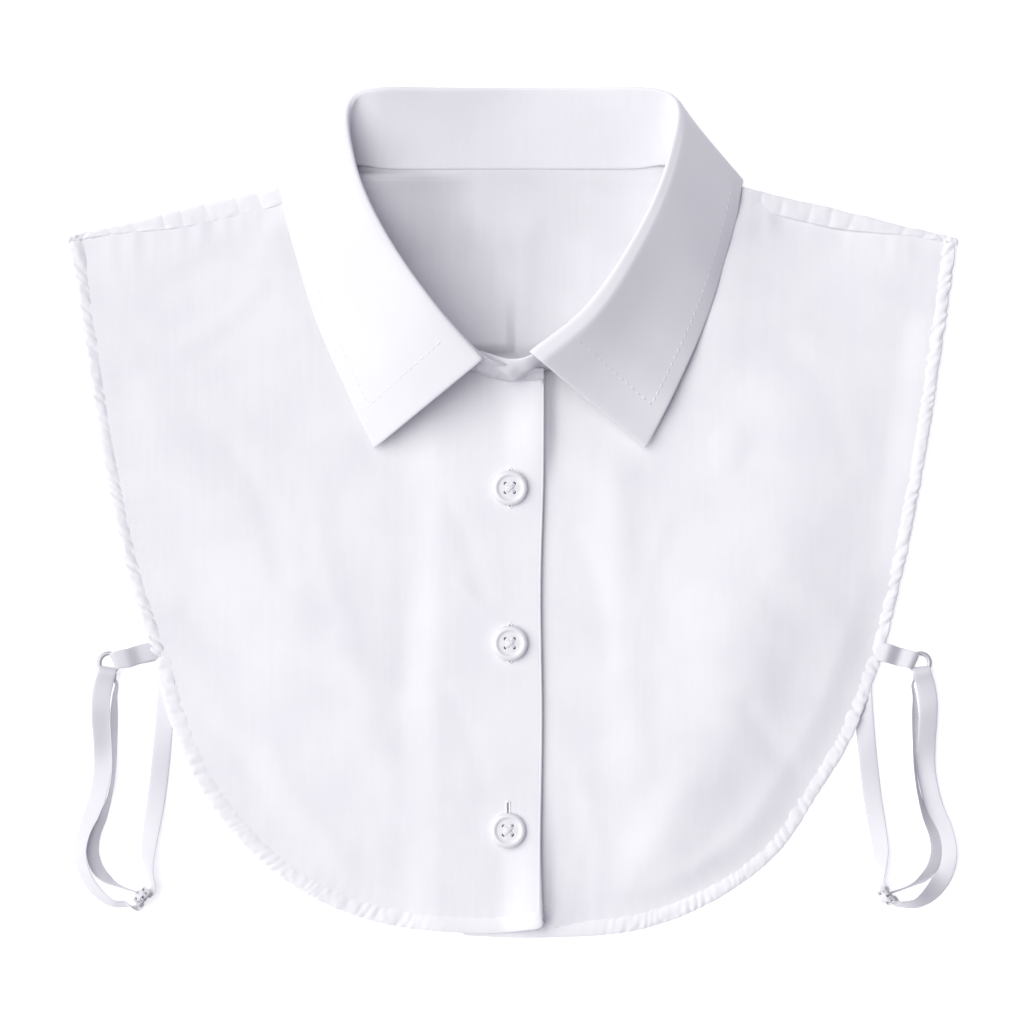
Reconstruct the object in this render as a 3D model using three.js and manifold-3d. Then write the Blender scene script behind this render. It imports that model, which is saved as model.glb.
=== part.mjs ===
// Detachable shirt collar: a half shirt of a collar, two fronts and a back, with elastic at the sides.
// Millimetres, +Z up. The garment lies on its back on a flat surface, bottom hem towards -Y,
// with the collar standing partly up and its back half folded down flat towards +Y.
// "Right" and "left" are the wearer's: the right front is at -X and lies on top.
import * as THREE from 'three';
import { mergeVertices } from 'three/addons/utils/BufferGeometryUtils.js';
import Module from 'manifold-3d';

const wasm = await Module();
wasm.setup();

// ---- Driving dimensions -------------------------------------------------------------------------
const CENTRE_X = -1.3; // centre-front line, left of the middle of the whole outline
const CLOTH = 1.0; // wall of one cloth panel
const COLLAR_WALL = 1.1; // wall of the stand and of the fall
const SEAM_GAP = 0.3; // between sewn or touching pieces
const CELL = 12.5; // spacing of the points over a front
const BACK_CELL = 19; // spacing of the points over the back, which lies flat
const OUTLINE_STEP = 9; // spacing of the points along an outline
const NECK_STEP = 4; // spacing of the points along the neck's seam

const FRONT_Z = 2.2; // underside of the fronts along their hems, above the back's hem
const FALL_LIFT = 1.6; // the back rises by this over the folded-down fall,
const FALL_REACH = { x: [84, 98], y: [88, 106] }; // and comes down to the floor over these distances
const PLACKET_RISE = CLOTH + 2 * SEAM_GAP; // the right front rises by this over the left one,
const PLACKET_STEP = [-42, -26]; // between these
const LAP = 12; // the right front and each end of the stand run this far past the centre front
const LEFT_EDGE_X = -19.5; // hidden front edge of the left front
// The fronts stand off the back by this, growing over these distances from the garment's edge and
// fading again under the collar, between these heights of the chest.
const LOFT = { height: 4.6, from: 5, to: 62, fadeStart: -45, fadeEnd: 26, underCollar: 0.05 };
const FOLD_FADE = { from: 6, to: 22, start: 60, end: 104 }; // the soft folds fade likewise

// Hems: pucker is the length of one gather, wave its height and lean its slant along the hem.
const ARMHOLE_HEM = { width: 3.8, height: 1.8, pucker: 5.1, wave: 0.38, lean: 0.45 };
const BOTTOM_HEM = { width: 5.8, height: 1.65, pucker: 5.6, wave: 0.36, lean: 0.12 };
const BACK_HEM = { width: 4.0, height: 1.5, pucker: 12, wave: 0.12, lean: 0 };
const BACK_INSET = { armhole: 1.0, bottom: 6.0 }; // the back's edge lies this far inside the fronts'
const BACK_NECK_HALF = 53; // half of the straight neck edge of the back
const HEM_DROP = 0.2; // a hem reaches this far below its panel's underside,
const HEM_BURIED = 0.6; // and holds the panel's edge this share of its width in
const STRIP_BURIED = 1; // the same for the strip over a shoulder, in millimetres
const HEM_POINTS = 2; // sections of a hem to each pucker
const HEM_ROUND = 0.7; // rounding of a hem's outer edge
const SHOULDER_STRIP = { width: 4.6, top: 4.2, pucker: 8.5, end: 69, wave: 0.28 };

const BUTTON = { radius: 6.35, height: 2.3, rim: 1.2, dish: 0.55, hole: 0.85, pitch: 3.1, round: 0.5 };
const BUTTONS = [
  { name: 'button_1', x: -1.6, y: 9.0, holeShift: 0 },
  { name: 'button_2', x: -1.6, y: -46.8, holeShift: 0 },
  { name: 'button_3', x: -2.3, y: -114.1, holeShift: 3.4 },
];
const BUTTONHOLE = { width: 0.7, length: 14.5, depth: 20 };

const ELASTIC = { width: 6.2, thickness: 0.9 };
const FLOOR_GAP = 0.15; // under the straps
const RING = { radius: 3.5, wire: 0.7, z: 2.5 };
const SLIDER = { width: 8.4, bar: 0.9, slot: 1.9, thickness: 1.0 };
const WEAVE = { start: 4.6, bend: 0.5, gap: 0.4 }; // the strap's way through the slider
const RING_TURN = { bearing: -78, across: 188 }; // the strap's way round the ring's wire, degrees
const TAB = { bearing: 160, across: 72, hemAcross: 80, reach: 1.4, y: -49.9 }; // the tab's, and its hem end
const STRAP_AT_RING = 3.6; // the elastic is bunched to this width where it goes through a ring
const STRAP_SLACK = 0.5; // room left round the ring's wire
const STAND_COLUMNS = 58; // points along the stand
const FALL_COLUMNS = 46; // points along the fall
const STATION_POWER = 0.92; // sets the points a little closer at the back

// ---- Outlines: the edge of the garment, shoulder tip to side corner, then along the bottom -------
const RIGHT_ARMHOLE = [
  { x: -160.7, y: 99.7 }, { x: -155.2, y: 62 }, { x: -149.6, y: 26 }, { x: -140.8, y: -17 },
  { x: -130, y: -52 },
];
const RIGHT_BOTTOM = [
  { x: -130, y: -52 }, { x: -123.3, y: -77 }, { x: -110.7, y: -103.3 }, { x: -84, y: -131.5 },
  { x: -53, y: -146.5 }, { x: -12, y: -151.4 }, { x: 10.6, y: -149.4 },
];
const RIGHT_FRONT_EDGE = [{ x: 9.4, y: -118 }, { x: 10.0, y: -75 }, { x: 9.5, y: -26 }, { x: 10.5, y: 12 }];
const LEFT_ARMHOLE = [
  { x: 159.5, y: 99 }, { x: 154.9, y: 66 }, { x: 148.9, y: 26 }, { x: 140.9, y: -17 },
  { x: 132.5, y: -52 },
];
const LEFT_BOTTOM = [
  { x: 132.5, y: -52 }, { x: 121, y: -81.7 }, { x: 107.8, y: -103.3 }, { x: 95.2, y: -122 },
  { x: 72.5, y: -139.3 }, { x: 44.8, y: -150.1 }, { x: 9, y: -153 }, { x: -19.5, y: -152.2 },
];
const SHOULDER_SLOPE = 0.24;

// ---- The neck: half of the collar, from the centre front round to the centre back, from x = 0 ----
// seam: sewn to the panels. roll: the fold. edge: free edge of the fall. open: half the distance
// between the stand and the fall where they leave the fold. bulge: rounding of the fall, upwards.
const NECK = [
  { seam: [0, 46.5, 4.4], roll: [0, 54.5, 27.0], edge: [43.0, 20.0, 7.0], open: 0.5, bulge: 2 },
  { seam: [9, 49.2, 4.2], roll: [8, 56.3, 27.0], edge: [49.2, 24.3, 6.6], open: 0.5, bulge: 2 },
  { seam: [28, 58.5, 3.9], roll: [27, 74.3, 27.0], edge: [59.5, 44.5, 5.7], open: 0.5, bulge: 3 },
  { seam: [50, 79, 3.7], roll: [43.2, 97.4, 25.0], edge: [70.5, 70, 5.6], open: 0.5, bulge: 3 },
  { seam: [62.5, 102, 3.7], roll: [53.5, 118, 21.0], edge: [77.5, 93, 5.6], open: 0.6, bulge: 2.5 },
  { seam: [65, 113, 3.7], roll: [58.2, 134, 14.6], edge: [81.5, 108, 5.7], open: 0.8, bulge: 1.5 },
  { seam: [64, 119.4, 3.7], roll: [59.6, 140.4, 11.4], edge: [82.8, 116.2, 5.3], open: 0.9, bulge: 0.8 },
  { seam: [61.5, 123.4, 3.6], roll: [59.8, 144.8, 8.4], edge: [83.4, 119.8, 3.0], open: 1.0, bulge: 0.3 },
  { seam: [58, 124.8, 3.5], roll: [58.6, 148.6, 5.4], edge: [80.4, 118.2, 0.75], open: 1.1, bulge: -0.4 },
  { seam: [54, 125, 3.4], roll: [55.6, 151.2, 3.4], edge: [74, 117.4, 0.65], open: 1.2, bulge: -0.3 },
  { seam: [46, 124.8, 3.3], roll: [47, 152.8, 2.15], edge: [58, 114.5, 0.62], open: 1.3, bulge: 0 },
  { seam: [0, 124.8, 3.3], roll: [0, 153, 2.0], edge: [0, 113, 0.62], open: 1.3, bulge: 0 },
];
// Ends of the stand and of the fronts' neck edges past the centre front: the right side's end lies
// outside, the left side's inside.
const LAP_END = {
  right: { seam: [-LAP, 47.0, 4.6], roll: [-LAP, 54.2, 26.0], edge: [43, 20, 7], open: 0.5, bulge: 2 },
  left: { seam: [-LAP, 50.6, 4.4], roll: [-LAP, 57.6, 27.5], edge: [43, 20, 7], open: 0.5, bulge: 2 },
};
const PLY_SHIFT = { seam: 0.95, roll: 1.7 }; // the stand's ends lie this far out and in at the lap,
const PLY_FADE = [-2, 26]; // and come together over this reach from the centre front
const STAND_CLEAR = 2.5 * SEAM_GAP; // from the stand's top to the fall's start
const NECK_CLEAR = PLY_SHIFT.seam + 3 * SEAM_GAP; // from the stand to the fronts
const FALL_START = 1; // the fall begins at this row of NECK
const ROLL_REACH = 1.5; // from the fold to where the stand ends and the fall runs straight

// ---- Soft folds of the panels: a line from (x0, y0) to (x1, y1), half as wide as width -----------
const FOLDS = [
  { x0: -150, y0: 40, x1: -95, y1: 84, width: 20, height: -1.0 },
  { x0: -135, y0: 52, x1: -108, y1: 0, width: 22, height: 1.0 },
  { x0: -118, y0: -40, x1: -48, y1: -72, width: 18, height: -1.1 },
  { x0: -60, y0: -50, x1: -38, y1: -110, width: 16, height: 0.9 },
  { x0: -30, y0: 20, x1: -38, y1: -60, width: 13, height: -0.7 },
  { x0: 36, y0: 12, x1: 44, y1: -92, width: 15, height: 1.1 },
  { x0: 78, y0: 24, x1: 62, y1: -60, width: 17, height: -0.9 },
  { x0: 96, y0: -20, x1: 124, y1: -50, width: 16, height: 0.8 },
  { x0: 66, y0: -128, x1: 100, y1: -60, width: 20, height: -1.2 },
  { x0: 40, y0: -136, x1: 60, y1: -100, width: 14, height: 0.9 },
  { x0: 92, y0: 96, x1: 142, y1: 52, width: 16, height: -0.9 },
];

// ---- Side elastics of the left side; the right side is their mirror image -----------------------
// across: direction of the strap's width seen from above, degrees. edge: how far the width is
// turned up on its edge, degrees. lift: height above the lowest place the strap can lie.
const RING_AT = { x: 146.0, y: -54.0 };
const SLIDER_AT = { x: 134.0, y: -138.0, heading: -50, edge: 68 };
const SLIDER_HEIGHT = 4.3; // of the slider's middle, clear of the floor on its edge
const TAB_HEIGHT = { upper: 3.5, lower: 2.0 }; // of the tab's two layers where they meet the hem
const INNER_RUN = [
  { x: 125.6, y: -67.0, across: 6, edge: 0, lift: 0 },
  { x: 126.3, y: -77.8, across: 5, edge: 0, lift: 0 },
  { x: 127.8, y: -90.7, across: 6, edge: 14, lift: 0 },
  { x: 129.0, y: -103.3, across: 8, edge: 32, lift: 0 },
  { x: 130.3, y: -113.0, across: 14, edge: 46, lift: 0 },
  { x: 131.6, y: -122.0, across: 8, edge: 58, lift: 0.2 },
  { x: 131.4, y: -129.0, across: 4, edge: 66, lift: 0.7 },
];
const OUTER_RUN = [
  { x: 139.6, y: -140.9, across: 84, edge: 66, lift: 0.5 },
  { x: 144.4, y: -140.2, across: 104, edge: 60, lift: 0.1 },
  { x: 150.0, y: -137.0, across: 130, edge: 52, lift: 0 },
  { x: 154.6, y: -131.4, across: 150, edge: 44, lift: 0 },
  { x: 157.0, y: -123.0, across: 180, edge: 42, lift: 0 },
  { x: 155.2, y: -114.6, across: 207, edge: 44, lift: 0 },
  { x: 151.6, y: -107.2, across: 206, edge: 36, lift: 0 },
  { x: 149.4, y: -99.0, across: 190, edge: 18, lift: 0 },
  { x: 148.3, y: -88.9, across: 180, edge: 4, lift: 0 },
  { x: 149.0, y: -77.0, across: 182, edge: 0, lift: 0.1 },
  { x: 149.0, y: -67.5, across: 188, edge: 0, lift: 1.8 },
];
const SECOND_RUN = [
  { x: 144.6, y: -64.5, across: 182, edge: 30, lift: 0 },
  { x: 143.3, y: -73.0, across: 180, edge: 72, lift: 0 },
  { x: 143.6, y: -84.0, across: 183, edge: 82, lift: 0 },
  { x: 144.5, y: -95.8, across: 193, edge: 84, lift: 0 },
  { x: 147.3, y: -105.5, across: 204, edge: 84, lift: 0 },
  { x: 150.0, y: -114.4, across: 192, edge: 80, lift: 0 },
  { x: 150.2, y: -121.7, across: 172, edge: 74, lift: 0 },
  { x: 147.0, y: -128.6, across: 140, edge: 68, lift: 0.2 },
  { x: 142.6, y: -132.4, across: 126, edge: 66, lift: 0.6 },
  { x: 138.0, y: -135.2, across: 124, edge: 66, lift: 0.9 },
];

// ---- Small helpers ------------------------------------------------------------------------------
const radians = THREE.MathUtils.degToRad;
const smooth = THREE.MathUtils.smoothstep;
const lerp = THREE.MathUtils.lerp;
const vec = (x, y, z = 0) => new THREE.Vector3(x, y, z);

// Closed triangle mesh to a solid, and back.
function toSolid(geometry) {
  const bare = geometry.clone();
  bare.deleteAttribute('normal');
  bare.deleteAttribute('uv');
  const merged = mergeVertices(bare, 1e-4);
  return new wasm.Manifold(new wasm.Mesh({
    numProp: 3,
    vertProperties: new Float32Array(merged.attributes.position.array),
    triVerts: new Uint32Array(merged.index.array),
  }));
}

function toGeometry(solid) {
  const mesh = solid.getMesh();
  const geometry = new THREE.BufferGeometry();
  geometry.setAttribute('position', new THREE.BufferAttribute(mesh.vertProperties, 3));
  geometry.setIndex(new THREE.BufferAttribute(mesh.triVerts, 1));
  return geometry;
}

// A closed mesh from points and triangles, turned so that its faces point out.
function closedMesh(points, triangles) {
  let volume = 0;
  for (let t = 0; t < triangles.length; t += 3) {
    const [a, b, c] = [0, 1, 2].map((k) => points[triangles[t + k]]);
    volume += a.dot(b.clone().cross(c));
  }
  const geometry = new THREE.BufferGeometry();
  const numbers = points.flatMap((p) => p.toArray());
  geometry.setAttribute('position', new THREE.Float32BufferAttribute(numbers, 3));
  geometry.setIndex(volume > 0 ? triangles : triangles.toReversed());
  return geometry;
}

// Evenly spaced points on a smooth curve through a table's rows.
function spaced(rows, step) {
  const curve = new THREE.CatmullRomCurve3(rows.map((r) => vec(r.x, r.y, r.z ?? 0)), false, 'centripetal');
  return curve.getSpacedPoints(Math.max(2, Math.round(curve.getLength() / step)));
}

// The way along a line of points at one of them.
function direction(points, i) {
  return points[Math.min(i + 1, points.length - 1)].clone().sub(points[Math.max(i - 1, 0)]).normalize();
}

// A line of points moved sideways in plan; a positive distance moves it to its left.
function moveSideways(points, distance) {
  return points.map((p, i) => {
    const along = direction(points, i);
    return p.clone().addScaledVector(vec(-along.y, along.x), distance);
  });
}

// Closed solid of quads between rings of the same number of points, with flat ends.
function loft(rings) {
  const sides = rings[0].length;
  const triangles = [];
  for (let i = 0; i + 1 < rings.length; i += 1) {
    for (let k = 0; k < sides; k += 1) {
      const a = i * sides + k;
      const b = i * sides + ((k + 1) % sides);
      triangles.push(a, b, b + sides, a, b + sides, a + sides);
    }
  }
  const last = (rings.length - 1) * sides;
  for (let k = 1; k + 1 < sides; k += 1) {
    triangles.push(0, k + 1, k, last, last + k, last + k + 1);
  }
  return closedMesh(rings.flat(), triangles);
}

// Square to a grid of points (rows of columns) at one of them.
function gridNormal(grid, i, j) {
  const rows = grid.length - 1;
  const columns = grid[0].length - 1;
  const alongRow = grid[i][Math.min(j + 1, columns)].clone().sub(grid[i][Math.max(j - 1, 0)]);
  const alongColumn = grid[Math.min(i + 1, rows)][j].clone().sub(grid[Math.max(i - 1, 0)][j]);
  return alongRow.cross(alongColumn).normalize();
}

// Closed wall between two grids of points of the same size.
function wallBetween(frontGrid, backGrid) {
  const rows = frontGrid.length;
  const columns = frontGrid[0].length;
  const triangles = [];
  const quad = (a, b, c, d) => triangles.push(a, b, c, a, c, d);
  const other = rows * columns;
  for (let i = 0; i + 1 < rows; i += 1) {
    for (let j = 0; j + 1 < columns; j += 1) {
      const a = i * columns + j;
      quad(a, a + 1, a + columns + 1, a + columns);
      quad(other + a, other + a + columns, other + a + columns + 1, other + a + 1);
    }
  }
  for (let j = 0; j + 1 < columns; j += 1) {
    const a = j;
    const b = (rows - 1) * columns + j;
    quad(a, other + a, other + a + 1, a + 1);
    quad(b, b + 1, other + b + 1, other + b);
  }
  for (let i = 0; i + 1 < rows; i += 1) {
    const a = i * columns;
    const b = a + columns - 1;
    quad(a, a + columns, other + a + columns, other + a);
    quad(b, other + b, other + b + columns, b + columns);
  }
  return closedMesh([...frontGrid.flat(), ...backGrid.flat()], triangles);
}

// Wall with half its thickness on each side of a grid of points.
function wall(grid, thickness) {
  const side = (sign) => grid.map((row, i) => row.map((p, j) => (
    p.clone().addScaledVector(gridNormal(grid, i, j), (sign * thickness) / 2)
  )));
  return wallBetween(side(1), side(-1));
}

// ---- Heights of the panels ----------------------------------------------------------------------
// The back rises over the fall that is folded under it.
function backLift(x, y) {
  const across = 1 - smooth(Math.abs(x - CENTRE_X), ...FALL_REACH.x);
  return FALL_LIFT * across * smooth(y, ...FALL_REACH.y);
}

function foldHeight(x, y) {
  let height = 0;
  for (const fold of FOLDS) {
    const along = vec(fold.x1 - fold.x0, fold.y1 - fold.y0);
    const from = vec(x - fold.x0, y - fold.y0);
    const part = THREE.MathUtils.clamp(from.dot(along) / along.lengthSq(), 0, 1);
    const distance = from.addScaledVector(along, -part).length();
    height += fold.height * Math.exp(-((distance / (fold.width / 2)) ** 2));
  }
  return height;
}

// How far the fronts stand off the back: nothing at the hems, most in the middle of the chest.
function frontLoft(x, y) {
  let nearest = Infinity;
  for (const p of wholeEdge) nearest = Math.min(nearest, Math.hypot(p.x - x, p.y - y));
  const inside = smooth(nearest, LOFT.from, LOFT.to);
  const belowCollar = lerp(1, LOFT.underCollar, smooth(y, LOFT.fadeStart, LOFT.fadeEnd));
  const { from, to, start, end } = FOLD_FADE;
  const folded = smooth(nearest, from, to) * (1 - smooth(y, start, end)) * foldHeight(x, y);
  return inside * belowCollar * LOFT.height + folded;
}

function frontUnderside(x, y) {
  const overBack = CLOTH + backLift(x, y) + SEAM_GAP;
  return Math.max(FRONT_Z, overBack) + Math.max(0, frontLoft(x, y));
}

// ---- Panels -------------------------------------------------------------------------------------
// A slab over a grid of points, cut to an outline.
function slab(outline, underside, cell) {
  const xs = outline.map((p) => p.x);
  const ys = outline.map((p) => p.y);
  const grid = (low, high) => {
    const values = [];
    for (let v = Math.floor(low / cell) - 1; v <= Math.ceil(high / cell) + 1; v += 1) values.push(v * cell);
    return values;
  };
  const columns = grid(Math.min(...xs), Math.max(...xs));
  const rows = grid(Math.min(...ys), Math.max(...ys));
  const low = rows.map((y) => columns.map((x) => vec(x, y, underside(x, y))));
  const high = low.map((row) => row.map((p) => vec(p.x, p.y, p.z + CLOTH)));
  const depth = 60; // deeper than any panel is high
  const prism = new THREE.ExtrudeGeometry(
    new THREE.Shape(outline.map((p) => new THREE.Vector2(p.x, p.y))),
    { depth, bevelEnabled: false },
  );
  prism.translate(0, 0, -depth / 2);
  return toSolid(wallBetween(high, low)).intersect(toSolid(prism));
}

// A hem: a flat roll along a line, drawn up into puckers. The line is the garment's edge and runs
// with the panel on its left; `inset` moves the hem in from it and `floor` is the height it stands
// on. Only its places that pass `keep` are built.
function hem(edge, size, { inset = 0, floor, seed, keep = () => true }) {
  const points = spaced(edge, size.pucker / HEM_POINTS);
  const middle = moveSideways(points, inset + size.width / 2).filter(keep);
  const half = size.width / 2;
  const rings = middle.map((p, i) => {
    const along = direction(middle, i);
    const out = vec(along.y, -along.x).addScaledVector(along, size.lean);
    const gather = (i % HEM_POINTS === 0 ? 1 : -1) * size.wave * (0.6 + 0.4 * Math.sin(i * 1.7 + seed));
    const top = size.height + gather;
    const section = [
      [-half, 0], [half - HEM_ROUND, 0], [half + gather, top * 0.45], [half - HEM_ROUND, top],
      [HEM_ROUND - half, top - 0.1], [-half, top / 2],
    ];
    return section.map(([u, z]) => vec(p.x + out.x * u, p.y + out.y * u, floor(p.x) + z));
  });
  return toSolid(loft(rings));
}

const edges = {
  right: { armhole: RIGHT_ARMHOLE, bottom: RIGHT_BOTTOM },
  left: { armhole: [...LEFT_ARMHOLE].reverse(), bottom: [...LEFT_BOTTOM].reverse() },
};
const tips = { right: RIGHT_ARMHOLE[0], left: LEFT_ARMHOLE[0] };

// Height (in plan) of the fold over a shoulder at one x.
function shoulderY(side, x) {
  return tips[side].y + Math.abs(tips[side].x - x) * SHOULDER_SLOPE;
}

// One side's outline from the shoulder tip to the bottom, moved in by the insets and ended at the
// top on the shoulder's fold moved down by `down`.
function sideEdge(side, insets, down) {
  const { armhole, bottom } = edges[side];
  const inset = (rows, distance) => moveSideways(spaced(rows, OUTLINE_STEP), distance);
  const points = side === 'right'
    ? [...inset(armhole, insets.armhole).slice(0, -1), ...inset(bottom, insets.bottom).slice(1)]
    : [...inset(bottom, insets.bottom).slice(0, -1), ...inset(armhole, insets.armhole).slice(1)].reverse();
  const above = (p) => p.y - (shoulderY(side, p.x) - down);
  const first = points.findIndex((p) => above(p) < 0);
  const [out, kept] = [points[first - 1], points[first]];
  return [out.clone().lerp(kept, above(out) / (above(out) - above(kept))), ...points.slice(first)];
}

// The seam where a front meets the stand, `clear` outside the stand's middle line, from its front
// edge to the shoulder.
function neckLine(side, clear) {
  const sign = side === 'right' ? -1 : 1;
  const rows = [LAP_END[side], ...NECK.slice(0, 6)].map((r) => vec(CENTRE_X + sign * r.seam[0], r.seam[1]));
  return moveSideways(spaced(rows, NECK_STEP), -sign * clear);
}

// The fold over a shoulder, from the collar out to the tip.
function shoulderLine(side) {
  const sign = side === 'right' ? -1 : 1;
  const end = CENTRE_X + sign * SHOULDER_STRIP.end;
  return [vec(end, shoulderY(side, end)), vec(tips[side].x, tips[side].y)];
}

// The garment's whole edge, from which the fronts' loft is measured.
const wholeEdge = ['right', 'left'].flatMap((side) => [
  ...[edges[side].armhole, edges[side].bottom, shoulderLine(side)].flatMap((rows) => spaced(rows, CELL)),
]);

function makeFront(side) {
  const isRight = side === 'right';
  const down = SHOULDER_STRIP.width + SEAM_GAP;
  const insets = { armhole: ARMHOLE_HEM.width * HEM_BURIED, bottom: BOTTOM_HEM.width * HEM_BURIED };
  const edge = sideEdge(side, insets, down);
  const neck = neckLine(side, COLLAR_WALL / 2 + NECK_CLEAR);
  const frontEdgeX = isRight ? neck[0].x : LEFT_EDGE_X;
  const neckEnd = neck[neck.length - 1];
  const outline = [
    ...edge.filter((p) => (isRight ? p.x < frontEdgeX - 1 : p.x > frontEdgeX + 1)),
    vec(frontEdgeX, edge[edge.length - 1].y),
    ...(isRight ? RIGHT_FRONT_EDGE.map((p) => vec(p.x, p.y)) : [vec(frontEdgeX, neck[0].y)]),
    ...neck,
    vec(neckEnd.x, shoulderY(side, neckEnd.x) - down),
  ];
  const rise = (x) => (isRight ? PLACKET_RISE * smooth(x, ...PLACKET_STEP) : 0);
  let solid = slab(outline, (x, y) => frontUnderside(x, y) + rise(x), CELL);
  const floor = (x) => FRONT_Z - HEM_DROP + rise(x);
  const belowStrip = (p) => p.y < shoulderY(side, p.x) - down - ARMHOLE_HEM.lean * ARMHOLE_HEM.width / 2;
  const besideLap = (p) => isRight || p.x > CENTRE_X + LAP + 2 * SEAM_GAP;
  solid = solid.add(hem(edges[side].armhole, ARMHOLE_HEM, { floor, seed: 0.4, keep: belowStrip }));
  solid = solid.add(hem(edges[side].bottom, BOTTOM_HEM, { floor, seed: 2.1, keep: besideLap }));
  if (isRight) {
    for (const button of BUTTONS) {
      const slit = new THREE.BoxGeometry(BUTTONHOLE.width, BUTTONHOLE.length, BUTTONHOLE.depth);
      slit.translate(button.x, button.y + button.holeShift, 0);
      solid = solid.subtract(toSolid(slit));
    }
  }
  return toGeometry(solid);
}

// The back: one slab, a plain hem along armholes and bottom, and the strip over each shoulder.
function makeBack() {
  const neckY = NECK[NECK.length - 1].seam[1] - SEAM_GAP - COLLAR_WALL / 2;
  const buried = BACK_HEM.width * HEM_BURIED;
  const insets = { armhole: BACK_INSET.armhole + buried, bottom: BACK_INSET.bottom + buried };
  const half = (side) => {
    const sign = side === 'right' ? -1 : 1;
    const collarX = CENTRE_X + sign * SHOULDER_STRIP.end;
    const ownHalf = (p) => sign * (p.x - CENTRE_X) > OUTLINE_STEP / 2;
    return [
      ...sideEdge(side, insets, STRIP_BURIED).filter(ownHalf).reverse(),
      vec(collarX, shoulderY(side, collarX) - STRIP_BURIED),
      vec(CENTRE_X + sign * BACK_NECK_HALF, neckY),
    ];
  };
  const outline = [...half('left'), ...half('right').reverse()];
  let solid = slab(outline, backLift, BACK_CELL);
  for (const side of ['right', 'left']) {
    for (const [name, seed] of [['armhole', 1.3], ['bottom', 2.9]]) {
      solid = solid.add(hem(edges[side][name], BACK_HEM, { inset: BACK_INSET[name], floor: () => 0, seed }));
    }
    solid = solid.add(shoulderStrip(side));
  }
  return toGeometry(solid);
}

// The back's strip over one shoulder, drawn into flat puckers, from its tip to the collar.
function shoulderStrip(side) {
  const points = spaced(shoulderLine(side), SHOULDER_STRIP.pucker / 2);
  const rings = points.map((p, i) => {
    const wave = (i % 2 === 0 ? 1 : -1) * SHOULDER_STRIP.wave;
    const base = backLift(p.x, p.y);
    const top = SHOULDER_STRIP.top + wave;
    const inner = -SHOULDER_STRIP.width;
    const section = [
      [-HEM_ROUND, base], [wave, (base + top) / 2], [-HEM_ROUND, top],
      [inner + HEM_ROUND, top - 0.1], [inner, top - HEM_ROUND], [inner, base],
    ];
    return section.map(([dy, z]) => vec(p.x, p.y + dy, z));
  });
  return toSolid(loft(rings));
}

// ---- Collar -------------------------------------------------------------------------------------
// Stations along one half of the neck (on +X), through rows that end at the centre back. Each has
// the seam, the fold, the free edge, the way up the stand and the way into the neck.
function neckStations(rows, count) {
  const [seams, rolls, freeEdges] = ['seam', 'roll', 'edge'].map((name) => (
    new THREE.CatmullRomCurve3(rows.map((r) => vec(...r[name])), false, 'centripetal')
  ));
  const stations = [];
  for (let i = 0; i <= count; i += 1) {
    const part = (i / count) ** STATION_POWER;
    const row = part * (rows.length - 1);
    const low = rows[Math.floor(row)];
    const high = rows[Math.min(Math.floor(row) + 1, rows.length - 1)];
    const mix = (name) => lerp(low[name], high[name], row - Math.floor(row));
    const seam = seams.getPoint(part);
    const roll = rolls.getPoint(part);
    const up = roll.clone().sub(seam).normalize();
    const inward = up.clone().cross(rolls.getTangent(part)).normalize();
    const edge = freeEdges.getPoint(part);
    stations.push({ seam, roll, edge, up, inward, open: mix('open'), bulge: mix('bulge') });
  }
  return stations;
}

// Where the stand ends and the fall begins, on the neck's side of the fold.
function foldStart(s) {
  return s.roll.clone().addScaledVector(s.up, -ROLL_REACH).addScaledVector(s.inward, s.open);
}

const mirrored = (p) => vec(-p.x, p.y, p.z);
const placed = (grid) => grid.map((row) => row.map((p) => p.clone().add(vec(CENTRE_X, 0))));

function makeStand() {
  const rows = 3;
  // One half; `ply` is +1 for the end that lies outside at the lap and -1 for the one inside.
  const half = (side, ply) => neckStations([LAP_END[side], ...NECK], STAND_COLUMNS / 2).map((s) => {
    const top = foldStart(s).addScaledVector(s.up, -STAND_CLEAR);
    const lap = 1 - smooth(s.roll.x, ...PLY_FADE);
    return Array.from({ length: rows + 1 }, (_, k) => {
      const part = k / rows;
      const shift = ply * lap * lerp(PLY_SHIFT.seam, PLY_SHIFT.roll, part);
      return s.seam.clone().lerp(top, part).addScaledVector(s.inward, -shift);
    });
  });
  const right = half('right', 1).map((row) => row.map(mirrored));
  const left = half('left', -1).reverse();
  return wall(placed([...right, ...left.slice(1)]), COLLAR_WALL);
}

function makeFall() {
  const parts = [0.14, 0.32, 0.52, 0.72, 0.9, 1]; // shares of the way from the fold to the free edge
  const half = neckStations(NECK.slice(FALL_START), FALL_COLUMNS / 2).map((s) => {
    const way = s.edge.clone().sub(s.roll).normalize();
    const turn = s.roll.clone().addScaledVector(way, ROLL_REACH).addScaledVector(s.inward, -s.open);
    const leaf = parts.map((part) => {
      const p = turn.clone().lerp(s.edge, part);
      p.z += s.bulge * 4 * part * (1 - part);
      return p;
    });
    return [foldStart(s), s.roll.clone(), turn, ...leaf];
  });
  const right = half.map((row) => row.map(mirrored));
  const left = [...half].reverse();
  return wall(placed([...right, ...left.slice(1)]), COLLAR_WALL);
}

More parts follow.
